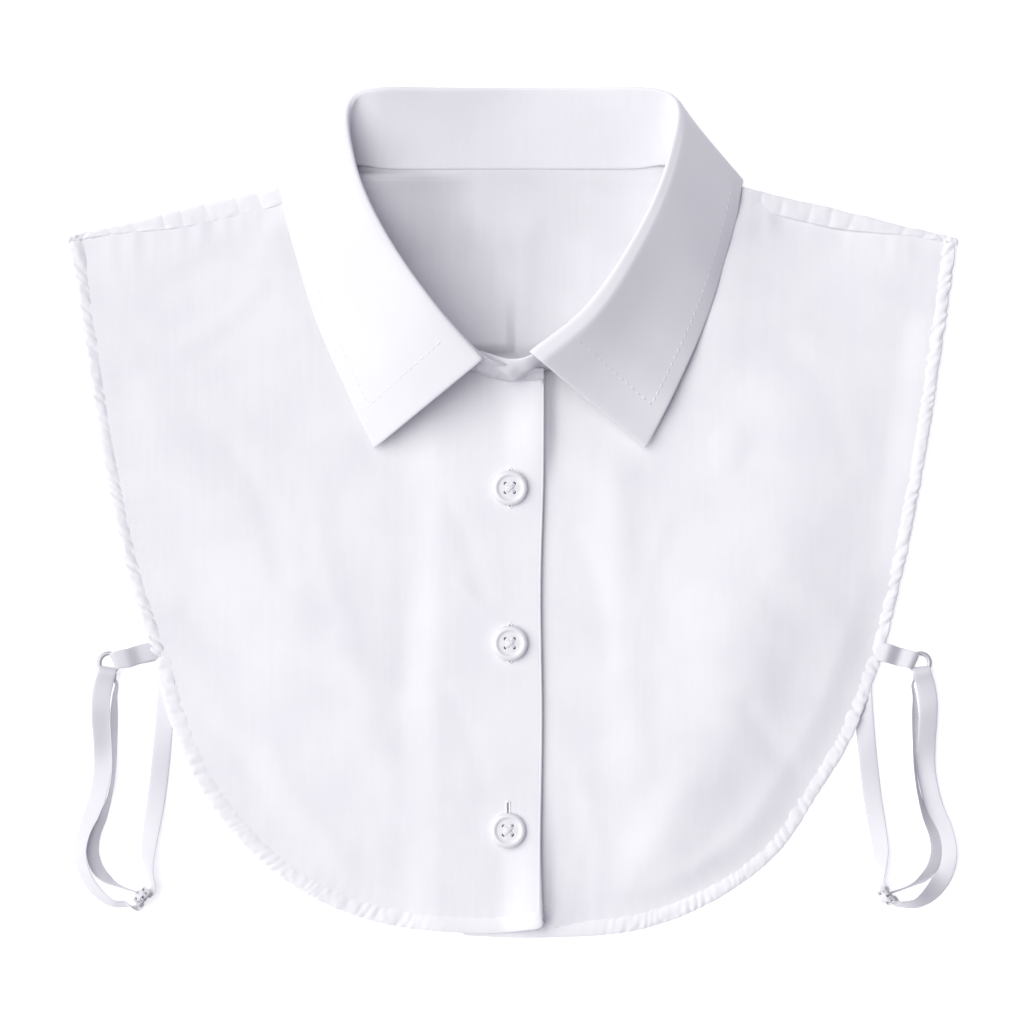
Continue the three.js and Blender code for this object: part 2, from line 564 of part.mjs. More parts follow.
// ---- Buttons ------------------------------------------------------------------------------------
function makeButton({ x, y }) {
  const { radius, height, rim, dish, hole, pitch, round } = BUTTON;
  const floor = height - dish;
  const profile = [
    [0, 0], [radius - round, 0], [radius, round], [radius, height - round], [radius - round, height],
    [radius - rim, height - 0.1], [radius - rim - round, floor], [0, floor],
  ];
  const body = new THREE.LatheGeometry(profile.map(([r, z]) => new THREE.Vector2(r, z)), 20);
  body.rotateX(Math.PI / 2);
  let solid = toSolid(body);
  for (const [sx, sy] of [[-1, -1], [1, -1], [-1, 1], [1, 1]]) {
    const drill = new THREE.CylinderGeometry(hole, hole, height * 3, 8);
    drill.rotateX(Math.PI / 2).translate((sx * pitch) / 2, (sy * pitch) / 2, height / 2);
    solid = solid.subtract(toSolid(drill));
  }
  return toGeometry(solid).translate(x, y, buttonHeight(x, y));
}

// Height of a button's underside: clear of the cloth all over its face.
function buttonHeight(x, y) {
  let top = 0;
  for (const dx of [-1, 0, 1]) {
    for (const dy of [-1, 0, 1]) {
      top = Math.max(top, frontUnderside(x + dx * BUTTON.radius, y + dy * BUTTON.radius));
    }
  }
  return top + PLACKET_RISE + CLOTH + SEAM_GAP;
}

// ---- Side fastening -----------------------------------------------------------------------------
const upright = (across, edge) => vec(
  Math.cos(radians(across)) * Math.cos(radians(edge)),
  Math.sin(radians(across)) * Math.cos(radians(edge)),
  Math.sin(radians(edge)),
);

// The lowest that the middle of a strap can lie.
function restHeight(edge) {
  const turned = radians(edge);
  return (ELASTIC.width * Math.sin(turned) + ELASTIC.thickness * Math.cos(turned)) / 2 + FLOOR_GAP;
}

// Rows of a run to places of the strap: its middle, the way across it and its width.
function runPlaces(rows) {
  return rows.map(({ x, y, across, edge, lift }) => (
    { at: vec(x, y, restHeight(edge) + lift), across, edge, width: ELASTIC.width }
  ));
}

// Places filled in smoothly, `steps` to each.
function smoothed(places, steps) {
  const curve = new THREE.CatmullRomCurve3(places.map((p) => p.at), false, 'centripetal');
  const result = [];
  const total = (places.length - 1) * steps;
  for (let i = 0; i <= total; i += 1) {
    const row = i / steps;
    const low = places[Math.floor(row)];
    const high = places[Math.min(Math.floor(row) + 1, places.length - 1)];
    const mix = (name) => lerp(low[name], high[name], row - Math.floor(row));
    const [across, edge, width] = ['across', 'edge', 'width'].map(mix);
    result.push({ at: curve.getPoint(i / total), across, edge, width });
  }
  return result;
}

// A flat strap through its places.
function strap(places) {
  const middle = places.map((p) => p.at);
  const rings = places.map((p, i) => {
    const across = upright(p.across, p.edge);
    const normal = direction(middle, i).cross(across).normalize().multiplyScalar(ELASTIC.thickness / 2);
    const side = across.clone().multiplyScalar(p.width / 2);
    return [[1, 1], [-1, 1], [-1, -1], [1, -1]].map(([u, v]) => (
      p.at.clone().addScaledVector(side, u).addScaledVector(normal, v)
    ));
  });
  return loft(rings);
}

// A strap's turn round the ring's wire, from over it to under it, at `bearing` from the ring's middle.
function ringTurn({ bearing, across }) {
  const radius = RING.wire + SEAM_GAP + ELASTIC.thickness / 2 + STRAP_SLACK;
  const out = vec(Math.cos(radians(bearing)), Math.sin(radians(bearing)));
  const wire = vec(RING_AT.x, RING_AT.y, RING.z).addScaledVector(out, RING.radius);
  return [90, 125, 160, 200, 235, 270].map(radians).map((turn) => ({
    at: wire.clone().addScaledVector(out, radius * Math.cos(turn)).add(vec(0, 0, radius * Math.sin(turn))),
    across, edge: 0, width: STRAP_AT_RING,
  }));
}

// The strap's way under, over and under the slider's three bars.
function sliderWeave() {
  const { heading, edge } = SLIDER_AT;
  const along = vec(Math.cos(radians(heading)), Math.sin(radians(heading)));
  const normal = along.clone().cross(upright(heading + 90, edge));
  const clear = (SLIDER.thickness + ELASTIC.thickness) / 2 + WEAVE.gap;
  const slotAt = (SLIDER.bar + SLIDER.slot) / 2;
  const { start, bend } = WEAVE;
  const half = [
    [-start, -clear], [-slotAt - bend, -clear], [-slotAt, bend - clear], [-slotAt, clear - bend],
    [bend - slotAt, clear],
  ];
  const weave = [...half, ...half.map(([u, n]) => [-u, n]).reverse()];
  return weave.map(([u, n]) => ({
    at: vec(SLIDER_AT.x, SLIDER_AT.y, SLIDER_HEIGHT).addScaledVector(along, u).addScaledVector(normal, n),
    across: heading + 90, edge, width: ELASTIC.width,
  }));
}

function makeElastic() {
  const weave = sliderWeave();
  const turn = ringTurn(RING_TURN);
  const inner = smoothed([...runPlaces(INNER_RUN), weave[0]], 2);
  const outer = smoothed([weave[weave.length - 1], ...runPlaces(OUTER_RUN), turn[0]], 2);
  const second = smoothed([turn[turn.length - 1], ...runPlaces(SECOND_RUN)], 2);
  return strap([...inner, ...weave.slice(1), ...outer.slice(1), ...turn.slice(1), ...second.slice(1)]);
}

// The tab: two layers from the hem to the ring.
function makeTab(side) {
  const corner = Math.abs(edges[side].bottom[side === 'right' ? 0 : edges[side].bottom.length - 1].x);
  const layer = (z) => (
    { at: vec(corner + TAB.reach, TAB.y, z), across: TAB.hemAcross, edge: 0, width: ELASTIC.width }
  );
  return strap([layer(TAB_HEIGHT.upper), ...ringTurn(TAB), layer(TAB_HEIGHT.lower)]);
}

function makeRing() {
  const geometry = new THREE.TorusGeometry(RING.radius, RING.wire, 6, 16);
  return geometry.translate(RING_AT.x, RING_AT.y, RING.z);
}

function makeSlider() {
  const { width, bar, slot, thickness } = SLIDER;
  const plate = new THREE.BoxGeometry(3 * bar + 2 * slot, width, thickness);
  const opening = new THREE.BoxGeometry(slot, width - 2 * bar, 2 * thickness);
  let solid = toSolid(plate);
  for (const x of [-1, 1]) {
    solid = solid.subtract(toSolid(opening.clone().translate((x * (bar + slot)) / 2, 0, 0)));
  }
  const along = vec(Math.cos(radians(SLIDER_AT.heading)), Math.sin(radians(SLIDER_AT.heading)));
  const across = upright(SLIDER_AT.heading + 90, SLIDER_AT.edge);
  const turned = new THREE.Matrix4().makeBasis(along, across, along.clone().cross(across));
  return toGeometry(solid).applyMatrix4(turned).translate(SLIDER_AT.x, SLIDER_AT.y, SLIDER_HEIGHT);
}

// ---- Assembly -----------------------------------------------------------------------------------
const finishes = {
  poplin: { color: 0xf4f4f8, roughness: 0.9, metalness: 0 },
  collar: { color: 0xf7f7fa, roughness: 0.85, metalness: 0 },
  resin: { color: 0xf2f1f4, roughness: 0.3, metalness: 0 },
  elastic: { color: 0xe9e8ee, roughness: 0.5, metalness: 0 },
  coated: { color: 0xe6e6ea, roughness: 0.35, metalness: 0.1 },
};

const garment = new THREE.Group();
const leftSide = new THREE.Group();
const rightSide = new THREE.Group();
rightSide.scale.x = -1; // the right side's fastening is the left's, reflected
garment.add(leftSide, rightSide);

function addPiece(name, geometry, finish, parent = garment) {
  const mesh = new THREE.Mesh(geometry, new THREE.MeshStandardMaterial(finishes[finish]));
  mesh.name = name;
  parent.add(mesh);
}

addPiece('back_panel', makeBack(), 'poplin');
addPiece('left_front', makeFront('left'), 'poplin');
addPiece('right_front', makeFront('right'), 'poplin');
addPiece('collar_stand', makeStand(), 'collar');
addPiece('collar_fall', makeFall(), 'collar');
for (const button of BUTTONS) addPiece(button.name, makeButton(button), 'resin');
for (const [side, group] of [['right', rightSide], ['left', leftSide]]) {
  addPiece(`tab_${side}`, makeTab(side), 'elastic', group);
  addPiece(`elastic_${side}`, makeElastic(), 'elastic', group);
  addPiece(`ring_${side}`, makeRing(), 'coated', group);
  addPiece(`slider_${side}`, makeSlider(), 'coated', group);
}

export default garment;
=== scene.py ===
"""The looks of a detachable shirt collar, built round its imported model.

The garment lies on its back: a turn-down collar on a stand, two fronts that button, a back, rolled
hems, and satin elastics at the sides with their rings and sliders. Tables and sizes are in
millimetres and every mesh is made in metres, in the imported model's frame.
"""

import logging
from collections.abc import Callable, Iterable, Sequence
from dataclasses import dataclass, field, replace
from enum import Enum
from math import copysign, cos, exp, hypot, pi, radians, sin, sqrt

import bmesh
import bpy
from bmesh.types import BMesh, BMFace
from bpy.types import Material, Node, NodeSocket, NodeTree, Object
from mathutils import Matrix, Vector, kdtree, noise


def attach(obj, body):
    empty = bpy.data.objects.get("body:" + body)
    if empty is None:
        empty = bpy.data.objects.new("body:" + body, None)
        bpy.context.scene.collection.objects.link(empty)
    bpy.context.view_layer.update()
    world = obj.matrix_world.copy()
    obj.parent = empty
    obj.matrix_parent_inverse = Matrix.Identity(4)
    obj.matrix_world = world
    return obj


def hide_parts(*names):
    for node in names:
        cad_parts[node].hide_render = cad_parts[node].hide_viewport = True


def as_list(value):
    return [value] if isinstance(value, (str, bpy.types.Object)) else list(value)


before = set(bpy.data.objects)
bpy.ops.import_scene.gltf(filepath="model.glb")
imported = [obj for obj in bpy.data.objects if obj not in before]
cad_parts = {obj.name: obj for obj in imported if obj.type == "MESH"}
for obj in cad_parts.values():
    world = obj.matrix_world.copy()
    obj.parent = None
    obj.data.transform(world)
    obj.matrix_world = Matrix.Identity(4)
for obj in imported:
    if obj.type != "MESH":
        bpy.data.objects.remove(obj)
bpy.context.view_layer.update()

LOG = logging.getLogger("shirt_collar")
MM = 0.001
ROOT = "root"

# ---- Sizes that several pieces share ------------------------------------------------------------
CENTRE_X = -1.3  # centre-front line
CLOTH = 1.0  # wall of a panel's solid
PLY = 0.45  # thickness of one ply of the cloth that shows
PLY_MIDDLE = 0.55  # a front's cloth lies this far above the underside of its solid
KEPT_FOLDS = 0.72  # share of the solids' folds that the cloth keeps
SEAM_GAP = 0.3
FRONT_Z = 2.2  # underside of the fronts along their hems
FALL_LIFT = 1.6  # the back rises by this over the folded-down fall
PLACKET_RISE = 1.6  # the right front rises by this over the left one
PLACKET_STEP = (-42.0, -26.0)
EDGE_BAND, TOP_BAND = (-6.0, 10.0), (6.0, 34.0)  # the placket's free edge, and its upper end
LAP = 12.0
LEFT_EDGE_X = -19.5
SHOULDER_SLOPE = 0.24
PLY_SEAM, PLY_ROLL, PLY_FADE = 0.7, 0.75, (-2.0, 26.0)
ROLL_REACH = 1.5
STAND_INTO_FALL = 0.8  # the stand runs on inside the fall, as the two are sewn together
RING_AT = (146.0, -54.0, 2.5)
RING_RADIUS, RING_WIRE = 3.5, 0.7
SLIDER_AT = (134.0, -138.0, 4.3)
SLIDER_HEADING, SLIDER_EDGE = -50.0, 68.0
ELASTIC_WIDTH, ELASTIC_THICKNESS, STRAP_AT_RING, STRAP_SLACK = 6.8, 0.9, 6.6, 0.5


class Side(Enum):
    """The wearer's side of the garment; the value is the sign of its X."""

    RIGHT = -1
    LEFT = 1

    @property
    def label(self) -> str:
        """The side's name in the names of pieces."""
        return self.name.lower()


ARMHOLE = {  # shoulder tip to side corner
    Side.RIGHT: ((-160.7, 99.7), (-155.2, 62), (-149.6, 26), (-140.8, -17), (-130, -52)),
    Side.LEFT: ((159.5, 99), (154.9, 66), (148.9, 26), (140.9, -17), (132.5, -52)),
}
BOTTOM = {  # side corner to front edge
    Side.RIGHT: (
        (-130, -52), (-123.3, -77), (-110.7, -103.3), (-84, -131.5), (-53, -146.5), (-12, -151.4),
        (10.6, -149.4),
    ),
    Side.LEFT: (
        (132.5, -52), (121, -81.7), (107.8, -103.3), (95.2, -122), (72.5, -139.3), (44.8, -150.1),
        (9, -153), (-19.5, -152.2),
    ),
}
RIGHT_FRONT_EDGE = ((9.4, -118), (10.0, -75), (9.5, -26), (10.5, 12))


@dataclass(frozen=True)
class NeckRow:
    """A row across half of the collar: points on the seam, the fold and the free edge.

    The fold opens by `open` towards the neck, and the fall stands off by `bulge` halfway down.
    """

    seam: tuple[float, float, float]
    roll: tuple[float, float, float]
    edge: tuple[float, float, float] = (43, 20, 7)
    open: float = 0.5
    bulge: float = 2


NECK = (  # from behind a leaf's front end round to centre back
    NeckRow((28, 58.5, 3.9), (27, 74.3, 27.0), (59.5, 44.5, 5.7), 0.5, 3),
    NeckRow((50, 79, 3.7), (43.2, 97.4, 25.0), (70.5, 70, 5.6), 0.5, 3),
    NeckRow((62.5, 102, 3.7), (53.5, 118, 22.0), (77.5, 93, 5.6), 0.6, 2.5),
    NeckRow((65, 113, 3.7), (58.2, 134, 17.0), (81.5, 108, 5.7), 0.8, 1.5),
    NeckRow((64, 119.4, 3.7), (59.6, 140.4, 14.4), (82.8, 116.2, 5.3), 0.9, 0.8),
    NeckRow((61.5, 123.4, 4.4), (59.8, 144.8, 12.4), (83.4, 119.8, 3.0), 1.0, 0.3),
    NeckRow((58, 124.8, 4.9), (58.6, 148.6, 10.4), (80.4, 118.2, 0.75), 1.1, -0.4),
    NeckRow((54, 125, 5.0), (55.6, 151.2, 8.8), (74, 117.4, 0.65), 1.2, -0.3),
    NeckRow((46, 123.9, 4.6), (47, 152.8, 6.8), (58, 114.5, 0.62), 1.3, 0),
    NeckRow((26, 123.7, 3.6), (26, 152.9, 3.6), (31, 113.6, 0.62), 1.3, 0),
    NeckRow((0, 123.7, 3.3), (0, 153, 2.0), (0, 113, 0.62), 1.3, 0),
)
STAND_FRONT = {  # the band's rows at the front, from the lapped end
    Side.RIGHT: (
        NeckRow((-LAP, 47.9, 6.6), (-LAP, 52.2, 13.5)),
        NeckRow((0, 48.3, 5.6), (0, 53.8, 18.5)),
        NeckRow((9, 49.9, 4.6), (8.6, 55.8, 24.0)),
    ),
    Side.LEFT: (
        NeckRow((-LAP, 50.6, 4.4), (-LAP, 57.6, 20.0)),
        NeckRow((0, 46.5, 4.4), (0, 54.5, 20.5)),
        NeckRow((9, 49.2, 4.2), (8, 56.3, 23.0)),
    ),
}
LEAF_END = {
    Side.RIGHT: NeckRow((9, 49.2, 4.2), (10.0, 54.8, 25.0), (49.2, 22.9, 5.9)),
    Side.LEFT: NeckRow((9, 49.2, 4.2), (6.6, 57.6, 24.0), (48.7, 23.0, 6.2)),
}
ROLL_SHIFT = {  # how the fold lies off each row of NECK: away from the centre, and up
    Side.RIGHT: ((0, 0, 0, -0.4, -0.9, -1.1, -1.0, -0.5, 0, 0, 0), (0, 0, 0, 0, 0, 0, 0, 0, 1.6, 1.9, 0)),
    Side.LEFT: ((0,) * 11, (-1.0, 1.0, 3.5, 5.4, 5.4, 4.6, 3.8, 3.2, 2.6, 1.0, 0)),
}


def neck_rows(side: Side) -> list[NeckRow]:
    """The rows of one half behind the leaf's front end, with the fold as it lies on that side."""
    return [replace(row, roll=(row.roll[0] + out, row.roll[1], row.roll[2] + up))
            for row, out, up in zip(NECK, *ROLL_SHIFT[side])]


@dataclass(frozen=True)
class Fold:
    """A soft fold along a line, `bend` off it in the middle; height is of its crest, or trough."""

    x0: float
    y0: float
    x1: float
    y1: float
    width: float
    height: float
    bend: float = 0.0


def folds(*rows: tuple[float, ...]) -> tuple[Fold, ...]:
    """Folds from rows of their values."""
    return tuple(Fold(*row) for row in rows)


BROAD_FOLDS = folds(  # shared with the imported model
    (-150, 40, -95, 84, 20, -1.0), (-135, 52, -108, 0, 22, 1.0), (-118, -40, -48, -72, 18, -1.1),
    (-60, -50, -38, -110, 16, 0.9), (-30, 20, -38, -60, 13, -0.7), (36, 12, 44, -92, 15, 1.1),
    (78, 24, 62, -60, 17, -0.9), (96, -20, 124, -50, 16, 0.8), (66, -128, 100, -60, 20, -1.2),
    (40, -136, 60, -100, 14, 0.9), (92, 96, 142, 52, 16, -0.9),
)
FINE_FOLDS = folds(  # softer and smaller ones, over the broad ones
    (62, -122, 102, -58, 30, 1.0, 4), (76, -40, 60, -118, 46, 2.6), (78, 24, 62, -60, 17, 0.65),
    (104, 66, 102, -20, 44, 1.5), (143, 60, 136, 0, 34, -0.9), (76, 104, 74, 66, 26, 1.4),
    (112, 106, 110, 62, 34, -1.2), (-128, 78, -96, 96, 9, -0.25, 2), (-120, 60, -92, 82, 8, 0.22, -2),
    (-102, 22, -84, -22, 10, -0.3, 4), (-70, 8, -60, -40, 9, 0.26, -3), (-24, 4, -12, -30, 8, -0.26, 2),
    (-20, -24, -4, -40, 6, 0.2, -1), (-26, -62, -10, -104, 9, -0.28, 3),
    (-88, -84, -62, -122, 10, 0.3, -4), (-112, -74, -92, -100, 8, -0.24, 2),
    (22, -8, 34, -52, 9, -0.26, 3), (54, -4, 48, -44, 9, 0.24, -3), (98, 62, 120, 18, 11, -0.3, 4),
    (112, 84, 140, 74, 8, 0.24, 2), (84, -70, 108, -96, 10, -0.5, -3), (24, -96, 30, -136, 8, 0.24, 2),
)
BACK_FOLDS = folds(
    (-120, 40, -60, 62, 16, 0.5, 6), (-110, -20, -40, -66, 18, 0.6, -8), (-30, 80, -22, 20, 12, 0.4, 3),
    (30, 96, 22, 30, 12, 0.45, -4), (-7, 104, -9, 62, 6, -0.2, 1), (5, 104, 4, 58, 6, 0.26, -1),
    (-20, 106, -18, 66, 7, 0.24, -1), (44, -20, 104, -70, 18, 0.6, 7), (70, 66, 128, 34, 16, 0.5, -6),
    (-10, -70, 20, -128, 14, 0.45, 4),
)


def smooth_step(value: float, low: float, high: float) -> float:
    """0 below low, 1 above high and an eased way between them."""
    part = min(max((value - low) / (high - low), 0.0), 1.0)
    return part * part * (3 - 2 * part)


def mix(a: float, b: float, part: float) -> float:
    """The value at a share of the way from a to b."""
    return a + (b - a) * part


def wander(value: float, seed: float) -> float:
    """A smooth uneven value between about -1 and 1 along one direction."""
    return 2 * noise.noise(Vector((value, seed, seed * 1.7)))


def upright(across: float, edge: float) -> Vector:
    """A strap's way across, `edge` degrees up from the plan direction `across`."""
    a, e = radians(across), radians(edge)
    return Vector((cos(a) * cos(e), sin(a) * cos(e), sin(e)))


class Curve:
    """A smooth centripetal curve through points."""

    def __init__(self, points: Iterable[Sequence[float]]) -> None:
        """Keeps the points as 3-D vectors."""
        self.points = [Vector((*p, 0.0)[:3]) for p in points]

    def at(self, part: float) -> Vector:
        """The point at a share of the way, each row an equal share.

        Args:
            part: From 0 at the first point to 1 at the last.

        Returns:
            The point.
        """
        p = self.points
        row = min(max(part, 0.0), 1.0) * (len(p) - 1)
        i = min(int(row), len(p) - 2)
        before = p[i - 1] if i else p[0] * 2 - p[1]
        after = p[i + 2] if i + 2 < len(p) else p[-1] * 2 - p[-2]
        a, b, t = p[i], p[i + 1], row - i
        gaps = [max((q - r).length, 1e-9) ** 0.5 for q, r in ((a, before), (b, a), (after, b))]
        d0, d1, d2 = gaps
        start = ((a - before) / d0 - (b - before) / (d0 + d1) + (b - a) / d1) * d1
        end = ((b - a) / d1 - (after - a) / (d1 + d2) + (after - b) / d2) * d1
        return a + start * t + (3 * (b - a) - 2 * start - end) * t**2 + (2 * (a - b) + start + end) * t**3

    def tangent(self, part: float) -> Vector:
        """The unit way along the curve at a share of the way."""
        return (self.at(part + 1e-4) - self.at(part - 1e-4)).normalized()

    def line(self, step: float) -> "Line":
        """The curve as an evenly spaced line of points.

        Args:
            step: About how far apart the points are.

        Returns:
            The line.
        """
        count = 12 * (len(self.points) - 1)
        fine = Line([self.at(i / count) for i in range(count + 1)])
        steps = max(2, round(fine.length / step))
        return Line([fine.point(i / steps) for i in range(steps + 1)])


class Line:
    """A line of points that is read by its length."""

    def __init__(self, points: Sequence[Vector]) -> None:
        """Measures the line.

        Args:
            points: Its points, in order.
        """
        self.points = list(points)
        self.marks = [0.0]
        for a, b in zip(self.points, self.points[1:]):
            self.marks.append(self.marks[-1] + (b - a).length)
        self.length = self.marks[-1]

    def point(self, share: float) -> Vector:
        """The point at a share of the length."""
        i, part = self._place(share)
        return self.points[i].lerp(self.points[i + 1], part)

    def way(self, share: float) -> Vector:
        """The unit way along the line at a share of the length."""
        return (self.point(min(share + 0.004, 1)) - self.point(max(share - 0.004, 0))).normalized()

    def moved(self, distance: float) -> "Line":
        """The line moved to its left in plan.

        Args:
            distance: How far.

        Returns:
            The moved line.
        """
        last = len(self.points) - 1
        moved = []
        for i, p in enumerate(self.points):
            along = (self.points[min(i + 1, last)] - self.points[max(i - 1, 0)]).normalized()
            moved.append(p + Vector((-along.y, along.x, 0)) * distance)
        return Line(moved)

    def reversed(self) -> "Line":
        """The line from its other end."""
        return Line(self.points[::-1])

    def joined(self, other: "Line") -> "Line":
        """This line and then the other."""
        return Line(self.points + other.points)

    def _place(self, share: float) -> tuple[int, float]:
        """Finds a place in the line.

        Args:
            share: A share of the line's length.

        Returns:
            The segment there, and the share of that segment.
        """
        want = min(max(share, 0.0), 1.0) * self.length
        low, high = 0, len(self.marks) - 1
        while high - low > 1:
            middle = (low + high) // 2
            low, high = (middle, high) if self.marks[middle] <= want else (low, middle)
        return low, (want - self.marks[low]) / max(self.marks[high] - self.marks[low], 1e-9)


def inset(line: Line, side: Side, distance: float) -> Line:
    """An outline that runs down or round from a shoulder, moved in by a distance."""
    return line.moved(-side.value * distance)


def outward(line: Line, side: Side) -> Line:
    """The same outline, run so that its right-hand side is the garment's outside."""
    return line if side is Side.RIGHT else line.reversed()


class Lay:
    """How the garment lies: its outline, and the height of its panels at a place in plan."""

    def __init__(self) -> None:
        """Samples the garment's whole edge."""
        self.armhole = {side: Curve(ARMHOLE[side]).line(1.0) for side in Side}
        self.bottom = {side: Curve(BOTTOM[side]).line(1.0) for side in Side}
        self.shoulder = {side: self._shoulder(side) for side in Side}
        hems = [(lines[side], name) for name, lines in (("armhole", self.armhole), ("bottom", self.bottom))
                for side in Side]
        self.edge = [(mark, name) for line, name in hems for mark in line.marks]
        edge_points = [p for line, _ in hems for p in line.points]
        self.edge_tree = self._tree(edge_points)
        self.whole_tree = self._tree(edge_points + [p for side in Side for p in self.shoulder[side].points])

    @staticmethod
    def _tree(points: Sequence[Vector]) -> kdtree.KDTree:
        """Sorts points so that the nearest is found fast.

        Args:
            points: The points.

        Returns:
            The tree.
        """
        tree = kdtree.KDTree(len(points))
        for i, p in enumerate(points):
            tree.insert(p, i)
        tree.balance()
        return tree

    def _shoulder(self, side: Side) -> Line:
        """The fold over a shoulder, from its tip in to the collar."""
        tip = self.armhole[side].points[0]
        end = CENTRE_X + side.value * 60
        return Curve(((tip.x, tip.y), (end, self.shoulder_y(side, end)))).line(1.0)

    def shoulder_y(self, side: Side, x: float) -> float:
        """Where the fold over a shoulder lies at one x."""
        tip = ARMHOLE[side][0]
        return tip[1] + abs(tip[0] - x) * SHOULDER_SLOPE

    def back_lift(self, x: float, y: float) -> float:
        """How far the back rises over the fall folded under it."""
        return FALL_LIFT * (1 - smooth_step(abs(x - CENTRE_X), 84, 98)) * smooth_step(y, 88, 106)

    def nearest_hem(self, x: float, y: float) -> tuple[float, float, str]:
        """The distance to the nearest hemmed edge, the place along it and its name."""
        _, i, distance = self.edge_tree.find(Vector((x, y, 0)))
        return distance, *self.edge[i]

    def front_underside(self, x: float, y: float) -> float:
        """The height of the underside of a front's solid.

        Args:
            x: Place in plan.
            y: Place in plan.

        Returns:
            The height.
        """
        _, _, nearest = self.whole_tree.find(Vector((x, y, 0)))
        inside = smooth_step(nearest, 3, 62)
        below = 1 - 0.95 * smooth_step(y, -45, 26)
        folds = smooth_step(nearest, 4, 22) * (1 - smooth_step(y, 60, 104))
        loft = inside * below * 4.6 + folds * KEPT_FOLDS * fold_height(BROAD_FOLDS, x, y)
        return max(FRONT_Z, CLOTH + self.back_lift(x, y) + SEAM_GAP) + max(0.0, loft)

    def rise(self, side: Side, x: float, y: float) -> float:
        """How far the right front rises over the left one; its free edge stands off at both ends.

        Args:
            side: The front's side.
            x: Place in plan.
            y: Place in plan.

        Returns:
            The rise, 0 on the left front.
        """
        if side is Side.LEFT:
            return 0.0
        ends = 3.3 * smooth_step(y, *TOP_BAND) + 4.0 * (1 - smooth_step(y, -150, -92))
        return PLACKET_RISE * smooth_step(x, *PLACKET_STEP) + ends * smooth_step(x, *EDGE_BAND)


def fold_height(folds: Iterable[Fold], x: float, y: float) -> float:
    """The height of all the folds together at a place.

    Args:
        folds: The folds.
        x: Place in plan.
        y: Place in plan.

    Returns:
        The height in millimetres, negative in a trough.
    """
    height = 0.0
    for fold in folds:
        ax, ay = fold.x1 - fold.x0, fold.y1 - fold.y0
        length = hypot(ax, ay)
        dx, dy = x - fold.x0, y - fold.y0
        raw = (dx * ax + dy * ay) / length**2
        part = min(max(raw, 0.0), 1.0)
        side = (dy * ax - dx * ay) / length - fold.bend * sin(pi * part)
        beyond = (raw - part) * length
        distance = hypot(side, beyond) / (fold.width / 2)
        if distance < 3:
            height += fold.height * exp(-(distance**2))
    return height


# ---- Meshes -------------------------------------------------------------------------------------
Column = Callable[[float], Vector]


def mapped_grid(columns: int, rows: int, column_at: Callable[[float], Column]) -> BMesh:
    """A grid whose points are moved to where a surface has them.

    Args:
        columns: Steps along the surface.
        rows: Steps across it.
        column_at: Gives, for a share of the way along, the line of points across, in millimetres.

    Returns:
        The mesh in metres, with a UV map over the whole surface.
    """
    bm = bmesh.new()
    bm.loops.layers.uv.new("UVMap")
    bmesh.ops.create_grid(bm, x_segments=columns, y_segments=rows, size=0.5, calc_uvs=True)
    made: dict[int, Column] = {}
    for vert in bm.verts:
        i, j = round((vert.co.x + 0.5) * columns), round((vert.co.y + 0.5) * rows)
        if i not in made:
            made[i] = column_at(i / columns)
        vert.co = made[i](j / rows) * MM
    return bm


def tube(columns: int, rows: int, column_at: Callable[[float], Column]) -> BMesh:
    """A mapped grid whose long sides are welded into a tube, with closed ends and its faces out.

    Args:
        columns: Steps along the tube.
        rows: Steps round it.
        column_at: Gives, for a share of the way along, the section by share of a turn.

    Returns:
        The closed mesh in metres.
    """
    bm = mapped_grid(columns, rows, column_at)
    bmesh.ops.remove_doubles(bm, verts=bm.verts, dist=1e-6)
    bmesh.ops.holes_fill(bm, edges=[edge for edge in bm.edges if edge.is_boundary], sides=0)
    bmesh.ops.recalc_face_normals(bm, faces=bm.faces)
    return bm


def swept(line: Line, steps: int, around: int,
          section: Callable[[float, float], tuple[float, float]]) -> BMesh:
    """A tube along a line in plan.

    Args:
        line: The line, in millimetres.
        steps: Steps along the line.
        around: Steps round the section.
        section: Gives, for a share of the way along and an angle round, the place to the right of
            the line and the height.

    Returns:
        The closed mesh.
    """
    def column_at(share: float) -> Column:
        """The section at one share of the line."""
        at, way = line.point(share), line.way(share)
        right = Vector((way.y, -way.x, 0))

        def place(turn: float) -> Vector:
            """One point of the section."""
            across, height = section(share, 2 * pi * turn)
            return at + right * across + Vector((0, 0, height))

        return place

    return tube(steps, around, column_at)


def squared(value: float, power: float) -> float:
    """A cosine or sine pulled towards its limits, which squares a round section."""
    return copysign(abs(value) ** power, value)


def to_object(name: str, bm: BMesh, material: Material) -> Object:
    """Makes a smooth shaded object at the origin from a mesh, and frees the mesh.

    Args:
        name: The piece's name.
        bm: The mesh, in metres.
        material: Its finish.

    Returns:
        The object, linked to the scene.
    """
    mesh = bpy.data.meshes.new(name)
    bm.to_mesh(mesh)
    bm.free()
    mesh.polygons.foreach_set("use_smooth", [True] * len(mesh.polygons))
    mesh.materials.append(material)
    obj = bpy.data.objects.new(name, mesh)
    bpy.context.scene.collection.objects.link(obj)
    return obj


def thicken(obj: Object, thickness: float, rounded: bool = False) -> Object:
    """Gives a sheet its thickness, and rounds its edges where asked.

    Args:
        obj: The sheet.
        thickness: In millimetres.
        rounded: Whether the edges are rounded off.

    Returns:
        The sheet.
    """
    solid = obj.modifiers.new("thickness", "SOLIDIFY")
    solid.thickness = thickness * MM
    solid.offset = 0
    if rounded:
        soft = obj.modifiers.new("rounding", "SUBSURF")
        soft.levels = soft.render_levels = 1
    return obj


